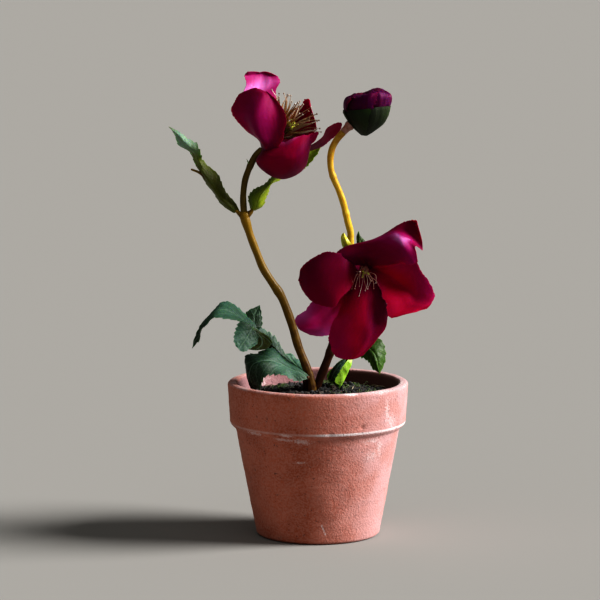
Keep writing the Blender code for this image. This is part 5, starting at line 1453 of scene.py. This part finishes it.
# %% Upper bloom, cupped and right-hand petals
CUPPED_PETAL = [
    [(-28.5, -4, 208), (-29, -5, 206.5), (-29, -5, 205), (-25, 1, 205)],
    [(-25.5, -10, 207.5), (-29, -13, 202.5), (-32.4, -6, 199), (-26, 3, 197.5)],
    [(-20, -13, 209.8), (-21.5, -16.5, 201), (-27, -6, 193.2), (-20.5, 5, 192.5)],
    [(-15, -14, 211), (-15, -17.5, 201), (-19.5, -6, 190.4), (-15.5, 5, 192)],
    [(-10, -13.5, 212.8), (-9.5, -16, 203), (-11.8, -5, 192.2), (-10.5, 4, 195)],
    [(-6.5, -11.5, 214), (-5.8, -12.5, 206.5), (-6.3, -5, 197), (-7.5, 2, 199.5)],
    [(-3.2, -9, 214.3), (-4, -9.5, 210), (-5.5, -6, 203), (-6.5, -2, 204)],
]
CUP_CORNER = [
    [(-7, -10.5, 213), (-6, -11, 210.5), (-5.2, -10, 208)],
    [(-3.4, -9.6, 214), (-3, -10, 211.8), (-3, -9.5, 209.3)],
    [(-1, -9, 215.2), (-0.6, -9.3, 213.3), (-1.2, -9, 211.2)],
    [(0, -9, 214.8)],
]
BACK_RIGHT_PETAL = [
    [(-24.5, 3, 209), (-22.5, 3, 208), (-22, 2, 206.5)],
    [(-18, 9, 215.5), (-15, 12, 212), (-11.5, 8, 208.5)],
    [(-13, 10, 223), (-8, 14, 217.5), (-4.5, 8, 210.5)],
    [(-9.5, 9, 227.5), (-5, 12, 221), (-1.5, 7, 214.5)],
    [(-7, 8, 230), (-4.5, 9, 226.5), (-2, 7, 221)],
    [(-5.5, 7, 231), (-5, 7, 230), (-4.5, 7, 228.5)],
]
TWISTED_PETAL = [
    [(-23, 1, 207), (-23, 2, 206), (-23, 3, 205)],
    [(-13.5, 2, 206), (-13, 5, 204), (-13, 8, 201)],
    [(-5, 1, 207), (-5, 5, 205), (-5.5, 9, 203)],
    [(2, 0, 211.5), (2, 5, 208.5), (2, 9, 206)],
    [(4.5, 0, 216.5), (6.5, 5, 213.5), (7, 9, 210)],
    [(9, 2, 219), (10, 5, 216), (10, 8, 212.5)],
    [(12, 4, 219), (12.5, 5, 218), (12, 7, 215.5)],
]
# Painted light and shade: a lit magenta lip along the rim, darker towards the right end.
petal("cupped_petal", "bloom_upper", CUPPED_PETAL, (
    (0, 0.3, 0.3, 0.3, 0.3, 0.1, 0.1, 0.1), (0.3, 0.92, 0.54, 0.50, 0.40, 0.2, 0.2, 0.2),
    (0.5, 0.92, 0.60, 0.60, 0.50, 0.3, 0.3, 0.3), (0.7, 0.86, 0.24, 0.24, 0.20, 0.2, 0.2, 0.2),
    (1, 0.6, 0.0, 0.0, 0.0, 0.2, 0.2, 0.2),
), 43, (), 0.2, 0.3, (0, -0.3, 1), wine_satin)
relief, margin = cloth_relief(48, 0.1, 0.3), cut_cloth(48, 0.15, 0.2)
patch = sheet(CUP_CORNER, 24, 16, 0.38, relief, margin, ((0, 0.25, 0.25), (1, 0.4, 0.4)))
make_piece("cup_corner", "bloom_upper", wine_satin, [patch], 75.0)
petal("back_right_petal", "bloom_upper", BACK_RIGHT_PETAL, ((0, 0.2, 0.2), (1, 0.66, 0.6)), 44, material=wine_satin)
petal("twisted_petal", "bloom_upper", TWISTED_PETAL, (
    (0, 0.0, 0.0, 0.0), (0.4, 0.1, 0.0, 0.0), (0.7, 0.56, 0.46, 0.2), (1, 0.76, 0.72, 0.5),
), 45, (), 0.2, 0.35, (0, -0.5, 1), wine_satin)
heart = lump((-26, -0.5, 208), 3.7, (1.05, 0.95, 0.9), 46, 0.20, 4, 0.2, 0.0)
make_piece("upper_heart", "bloom_upper", magenta_satin, [heart])
print("upper bloom built")

# %% [markdown]
# ## The lower bloom
#
# It faces the viewer and hangs a little. A petal painted dark with shade reaches to the left, a large one hangs
# at the bottom with a painted bright ridge, and a red one on the right has a painted glow. The top petal rolls
# forward over the heart.

# %% Lower bloom, left and bottom petals
LEFT_PETAL = [
    [(24, -15, 146), (22.5, -14, 144.5), (22, -15, 142.5)],
    [(15, -19.5, 152.3), (14.5, -23.5, 145), (16.5, -24.5, 135)],
    [(9.5, -20, 153), (7.5, -25.5, 144), (11.5, -28, 130)],
    [(2, -19.5, 152.5), (0, -25.5, 141), (7, -29, 125)],
    [(-5, -18.5, 148.5), (-5.5, -23, 139), (-2.5, -26, 127)],
    [(-9, -17.5, 144), (-8.5, -20, 138.5), (-7.5, -22, 131.5)],
    [(-10, -17, 139.5), (-10.5, -18, 138), (-10, -18, 135.5)],
]
LOWER_LEFT_PETAL = [
    [(22.5, -13, 144.5), (23, -13, 143), (24, -13, 142)],
    [(10.5, -17, 137), (14, -15, 132), (17.5, -16, 127.5)],
    [(2, -20, 130), (7.5, -17, 124), (13, -18, 118)],
    [(-3.5, -21, 126.5), (2, -21, 118.5), (8.5, -20, 111.5)],
    [(-8, -20, 121.5), (-4, -24, 116), (3, -22, 109)],
    [(-11.5, -19, 117.5), (-9, -24, 114), (-3.5, -23, 109.5)],
    [(-11.5, -20, 115), (-10, -22, 112.5), (-8, -22, 111.5)],
]
BOTTOM_PETAL = [
    [(22, -15, 143), (23.2, -15, 142.8), (24.5, -14.5, 142.5), (25.5, -14.8, 142.7), (26.5, -15, 143)],
    [(17, -20, 135.5), (20, -21.5, 135), (23.5, -22, 134.8), (28, -20.5, 135.5), (33, -19, 137.5)],
    [(13, -23, 126.5), (17, -26, 126), (22.5, -28, 126), (28.5, -26.5, 127.5), (36, -24, 130.5)],
    [(8.2, -26, 118.5), (14.5, -30, 117.5), (23.6, -32.5, 117.5), (29, -30.5, 119), (36, -28, 121)],
    [(5.5, -28.5, 111.5), (13, -32.5, 110), (24.4, -34.5, 110.5), (29, -33, 112), (34.8, -31.5, 115)],
    [(6, -31, 105), (12.5, -34, 103.5), (21.6, -36, 104), (26, -33.5, 105.5), (29.8, -32.5, 108.5)],
    [(8.8, -33, 100), (12.5, -34.5, 99), (17, -35.5, 98.7), (20, -34.8, 99.3), (23.5, -34, 101)],
]
# Painted shade: kept deep red and dark, as the top petal shades it.
petal("left_petal", "bloom_lower", LEFT_PETAL, (
    (0, 0.1, 0.2, 0.3), (0.3, 0.12, 0.25, 0.50), (0.6, 0.10, 0.18, 0.36), (1, 0.06, 0.10, 0.16),
), 51, (), 0.2, 0.5)
# Painted light: runs to magenta and rose where the light falls on it.
petal("lower_left_petal", "bloom_lower", LOWER_LEFT_PETAL, (
    (0, 0.1, 0.1, 0.1), (0.35, 0.5, 0.5, 0.4), (0.6, 0.82, 0.70, 0.85), (0.85, 0.98, 0.76, 0.95), (1, 0.9, 0.8, 0.85),
), 52, [([(0.4, -0.3), (0.95, -0.35)], 0.6, 2.0), ([(0.4, 0.35), (0.95, 0.3)], 0.6, 2.0)], 0.2)
# Painted light and shade: a bright ridge and a dark right flank.
petal("bottom_petal", "bloom_lower", BOTTOM_PETAL, (
    (0, 0.1, 0.1, 0.1, 0.1, 0.1), (0.3, 0.3, 0.35, 0.36, 0.1, 0.05), (0.55, 0.62, 0.60, 0.46, 0.1, 0.05),
    (0.78, 0.68, 0.66, 0.52, 0.15, 0.3), (1, 0.66, 0.68, 0.62, 0.4, 0.4),
), 53, (), 0.15, 0.45)

# %% Lower bloom, right and top petals
RIGHT_PETAL = [
    [(26, -15, 146), (27, -14, 144.5), (27, -15, 143)],
    [(34.5, -20, 148), (33.5, -17, 142.5), (29.5, -20, 139)],
    [(43.5, -25, 148.5), (40.5, -21, 138), (32.5, -26, 133)],
    [(50, -28, 149), (47, -26, 134.5), (35, -31, 127.5)],
    [(54.5, -28, 142), (52, -28, 130.5), (37.5, -33, 120.5)],
    [(59, -27, 135.5), (56, -29, 128), (46.5, -33, 122)],
    [(60.5, -27, 131), (59.5, -28, 128.5), (56.5, -29, 125)],
]
TOP_PETAL = [
    [(26.5, -15, 144.5), (25.5, -16, 145.5), (23, -17.5, 146), (19.5, -19, 146), (15.5, -20.5, 145.5)],
    [(31, -21, 145.5), (27.5, -21.5, 149), (21.5, -21.5, 150.5), (15, -21.5, 150.5), (9.3, -20.5, 150.2)],
    [(38, -26, 146.5), (34, -26, 151.5), (27.5, -23.5, 154.5), (19.5, -19.5, 155.8), (12.3, -16.5, 154.8)],
    [(44.5, -30, 148), (41.5, -31, 155.5), (36.5, -28, 159.5), (31.5, -21.5, 160.3), (27, -15, 158.6)],
    [(48, -31, 148.5), (44.5, -33, 156), (42, -30.5, 161.5), (40.5, -23.5, 164), (38.5, -18.5, 165.3)],
    [(50, -31, 148.5), (48.5, -32, 155), (46, -29.5, 160.5), (46.5, -23, 163.5), (46, -19.5, 169.8)],
    [(51.5, -31, 149), (50.5, -31.5, 154), (50, -31, 157), (54, -27.5, 155), (51, -24, 170)],
]
# Painted light: kept bright red for the glow of the window through the petal.
petal("right_petal", "bloom_lower", RIGHT_PETAL, (
    (0, 0.72, 0.60, 0.66), (0.4, 0.82, 0.42, 0.60), (0.75, 0.78, 0.58, 0.40), (1, 0.70, 0.62, 0.5),
), 54, [([(0.3, 0.2), (0.85, -0.1)], -0.8, 2.8)], 0.15)
# Painted light: the crest, where the petal rolls forward, runs to rose; the root stays deep.
petal("top_petal", "bloom_lower", TOP_PETAL, (
    (0, 0.0, 0.0, 0.0, 0.0, 0.0), (0.35, 0.25, 0.2, 0.2, 0.2, 0.15), (0.55, 0.55, 0.50, 0.6, 0.6, 0.3),
    (0.75, 0.72, 0.72, 1.0, 0.85, 0.3), (0.9, 0.70, 0.56, 0.9, 0.2, 0.0), (1, 0.6, 0.4, 0.2, 0.0, 0.0),
), 55, (), 0.15, 0.35, material=magenta_satin)
heart = lump((25, -12.5, 144.5), 3.7, (1.05, 0.85, 0.95), 56, 0.20, 4, 0.0, 0.0)
make_piece("lower_heart", "bloom_lower", crimson_satin, [heart])
print("lower bloom built")

# %% [markdown]
# ## Stamens
#
# Each stamen is a strip of film that widens in the middle, twists a little and ends in a flattened anther.
# They spread in a cone round the bloom's own axis, and a yellow-green pistil of a few strands on a round knob
# stands among them. The golden angle between one stamen and the next keeps the cone even.

# %% One stamen and the pistil
STATIONS = (0.0, 0.3, 0.65, 1.0)
FORWARD_BEND = (0.0, 0.05, 0.07, 0.0)
SAG = (0.0, -0.1, 0.1, 1.0)

def film_strip(draw, root, ahead, out, size, droop, half_width, curl):
    """The line of one strip, the rows of points of its sheet, and the side on which it is flat."""
    line = np.array([root + out * size * s + ahead * b * size for s, b in zip(STATIONS, FORWARD_BEND)])
    line -= np.outer(SAG, (0, 0, droop))
    line[1:] += draw.normal(scale=curl * size, size=(3, 3)) * np.array([[1.0], [1.3], [0.6]])
    flat = unit(np.cross(out, draw.normal(size=3)))
    rows = []
    for share, place in zip(STATIONS, line):
        twist = draw.uniform(0.4, 1.2) * share
        across = unit(flat * math.cos(twist) + np.cross(out, flat) * math.sin(twist))
        swell = 0.45 + 1.1 * math.sin(math.pi * min(1.0, share * 0.95 + 0.1))
        width = half_width * swell * draw.uniform(0.8, 1.2)
        middle = place + np.cross(out, across) * 0.12
        rows.append([tuple(place - across * width), tuple(middle), tuple(place + across * width)])
    return line, rows, np.cross(out, flat)

def pistil_strands(draw, root, ahead, side, over, count, length, lean, bulb):
    """A few strands that bow outwards from a round knob."""
    centre = unit(ahead + side * lean)
    strands = []
    for k in range(count):
        turn = math.tau * k / count
        bow = side * math.cos(turn) + over * math.sin(turn)
        tip = root + centre * length * draw.uniform(0.9, 1.05)
        line = [root, root + centre * length * 0.5 + bow * 0.9, tip + bow * 1.4, tip + centre * 1.2 + bow * 2.1]
        strands.append(tube(line, [0.55, 0.5, 0.62, 0.4], 10, 0.6, (), 0.04, k))
    return strands + [lump(root + centre * length * 0.85, bulb, (1.0, 1.0, 1.2), 7, 0.15, 3, 0.6, 0.5)]

print("stamen helpers ready: film_strip, pistil_strands")

# %% Stamens
GOLDEN_ANGLE = 2.39996
HEART_TO_ROOT = 4.2

def brush(name, node, heart, axis, count, length, spread, droop, seed, half_width, anther, curl, film, pistil):
    """A cone of stamens round an axis, spread by two angles, with anthers at their tips and a pistil within."""
    draw = np.random.default_rng(seed)
    ahead = unit(np.asarray(axis, dtype=float))
    side = unit(np.cross(ahead, (0, 1, 0))) if abs(ahead[1]) < 0.5 else np.array([1.0, 0.0, 0.0])
    over = np.cross(ahead, side)
    root = np.asarray(heart, dtype=float) + ahead * HEART_TO_ROOT
    strips = [lump(root, 1.9, (1, 1, 1), seed, 0.08, 3, 0.2, 0.0)]
    for k in range(count):
        angle, reach = GOLDEN_ANGLE * k, math.sqrt((k + 0.5) / count)
        lean = side * math.tan(math.radians(spread[0])) * reach * math.cos(angle)
        lean = lean + over * math.tan(math.radians(spread[1])) * reach * math.sin(angle)
        out = unit(ahead + lean)
        size = length * draw.uniform(0.78, 1.08)
        line, rows, facing = film_strip(draw, root, ahead, out, size, droop, half_width, curl)
        tone = draw.uniform(0.0, 1.0)
        tones = ((0, 0.4 * tone, 0.4 * tone), (1, tone, tone))
        strips.append(sheet(rows, 16, 4, 0.2, tones=tones, facing=tuple(facing)))
        strips.append(lump(line[-1], anther, (0.9, 0.6, 1.2), k, 0.25, 2, tone, 0.9))
    make_piece(name + "_film", node, film, strips, 80.0)
    strands = pistil_strands(draw, root, ahead, side, over, **pistil)
    make_piece(name + "_pistil", node, pistil_green, strands, 80.0)

brush(
    "upper", "stamens_upper", heart=(-26, -0.5, 208), axis=(0.68, -0.12, 0.72), count=36, length=24.0,
    spread=(44, 17), droop=0.0, seed=61, half_width=0.38, anther=0.40, curl=0.035, film=filament_film,
    pistil={"count": 4, "length": 13.0, "lean": -0.14, "bulb": 2.1},
)
brush(
    "lower", "stamens_lower", heart=(25, -12.5, 144.5), axis=(-0.10, -0.94, -0.30), count=15, length=11.5,
    spread=(44, 40), droop=4.5, seed=64, half_width=0.14, anther=0.30, curl=0.09, film=pale_film,
    pistil={"count": 3, "length": 4.2, "lean": 0.0, "bulb": 0.7},
)
print("stamens built")

# %% [markdown]
# ## The bud
#
# Five sepals overlap round the bud like a spiral, each with one edge tucked in and the other lifted. Out of
# them rises the closed crown of crinkled petals, which leans a little to the right and curls in at the top.

# %% Bud
BUD_PLACE = Matrix.Translation(Vector((24.0, -2.0, 212.5))) @ Matrix.Rotation(math.radians(5.0), 4, "Y")
CALYX_LINE = [(0.6, 0.1), (1.4, 0.4), (4.2, 2.5), (7.1, 5.1), (9.7, 8.1), (11.3, 11.1), (11.9, 13.4), (12.0, 14.6)]
CROWN_LINE = [
    (9.6, 9.5), (10.6, 12.5), (11.7, 15.5), (12.0, 18), (11.7, 20), (10.6, 21.4), (8, 22), (4.6, 21.6),
    (1.5, 20.4),
]
CROWN_TOP = ([-12.0, -7.4, -1.0, 4.2, 8.0, 12.0], [-0.4, -0.2, 1.0, 1.9, 1.1, -0.6])
RIM_TILT = 0.19

def wrapped(line, centre, half_angles, tuck, lift, rise, count=9):
    """Rows of a sheet wrapped round the bud; one side lies tuck below the line, the other lift above it."""
    rows = []
    for (radius, height), half in zip(line, half_angles):
        row = []
        for side in np.linspace(-1.0, 1.0, count):
            angle = centre + math.radians(half) * side
            r = radius - tuck * blend(-side, 0.2, 1.0) + lift * blend(side, 0.2, 1.0)
            x = r * math.cos(angle)
            z = height + rise * (1.0 - side * side) * blend(height, 10.0, 14.6)
            z += blend(height, 12.0, 21.0) * np.interp(x, *CROWN_TOP) + blend(height, 9.0, 14.0) * RIM_TILT * x
            row.append(tuple(BUD_PLACE @ Vector((x, r * math.sin(angle), z))))
        rows.append(row)
    return rows

def crinkle(seed, fine, coarse):
    """Broad crumples with finer creases over them, strongest near the tip."""
    def relief(field):
        place = np.stack([field["x"], field["y"] * 0.5], axis=-1)
        near_tip = 0.25 + 0.75 * blend(field["share"], 0.3, 0.75)
        lengthwise = np.abs(waves(np.stack([field["x"], field["y"] * 0.15], axis=-1), 5.5, seed + 2, 3))
        return (coarse * (waves(place, 9.0, seed, 5) - 1.2 * lengthwise)
                + fine * waves(place, 2.4, seed + 1, 7)) * near_tip
    return relief

SEPAL_COUNT = 5
SEPAL_HALF_ANGLES = (60, 58, 56, 55, 54, 54, 54, 54)
CROWN_HALF_ANGLES = (44, 46, 48, 50, 51, 51, 52, 54, 58)
sepals, crown = [], []
for k in range(SEPAL_COUNT):
    centre = math.radians(-64 + 72 * k)
    out = (math.cos(centre), math.sin(centre), 0.3)
    rows = wrapped(CALYX_LINE, centre, SEPAL_HALF_ANGLES, 0.30, 0.60, 0.2)
    # Painted light and shade: each sepal is dark at one edge and lit green at the other, as the front is lit from the
    # right.
    sepals.append(sheet(rows, 60, 44, 0.5, crinkle(70 + k, 0.03, 0.10), cut_cloth(70 + k, 0.12, 0.3),
                        ((0, 0.0, 0.6), (1, 0.2, 1.0)), out))
    rows = wrapped(CROWN_LINE, centre + 0.30, CROWN_HALF_ANGLES, 1.3, 0.9, 0.0)
    crown.append(sheet(rows, 80, 56, 0.35, crinkle(80 + k, 0.16, 0.50), cut_cloth(80 + k, 0.65, 0.9),
                       ((0, 0.2, 0.6), (0.55, 0.35, 0.9), (0.75, 0.3, 0.7), (1, 0.0, 0.2)), out))
make_piece("bud_sepals", "bud_calyx", calyx_green, sepals, 75.0)
core = lump(tuple(BUD_PLACE @ Vector((0, 0, 13.5))), 9.6, (1, 1, 0.82), 90, 0.05, 4, 0.1, 0.3)
make_piece("bud_crown", "bud_petals", purple_satin, crown + [core], 75.0)
CUFF_LINE = [(13.25, -2, 214.45), (14.9, -2, 216.2), (16.9, -2, 218.2)]
cuff = tube(CUFF_LINE, [1.9, 2.1, 2.7], 24, 0.3, [(0.75, 0.2, 0.1)], 0.02, 9)
make_piece("bud_cuff", "bud_collar", milky_cuff, [cuff])
print("bud built")
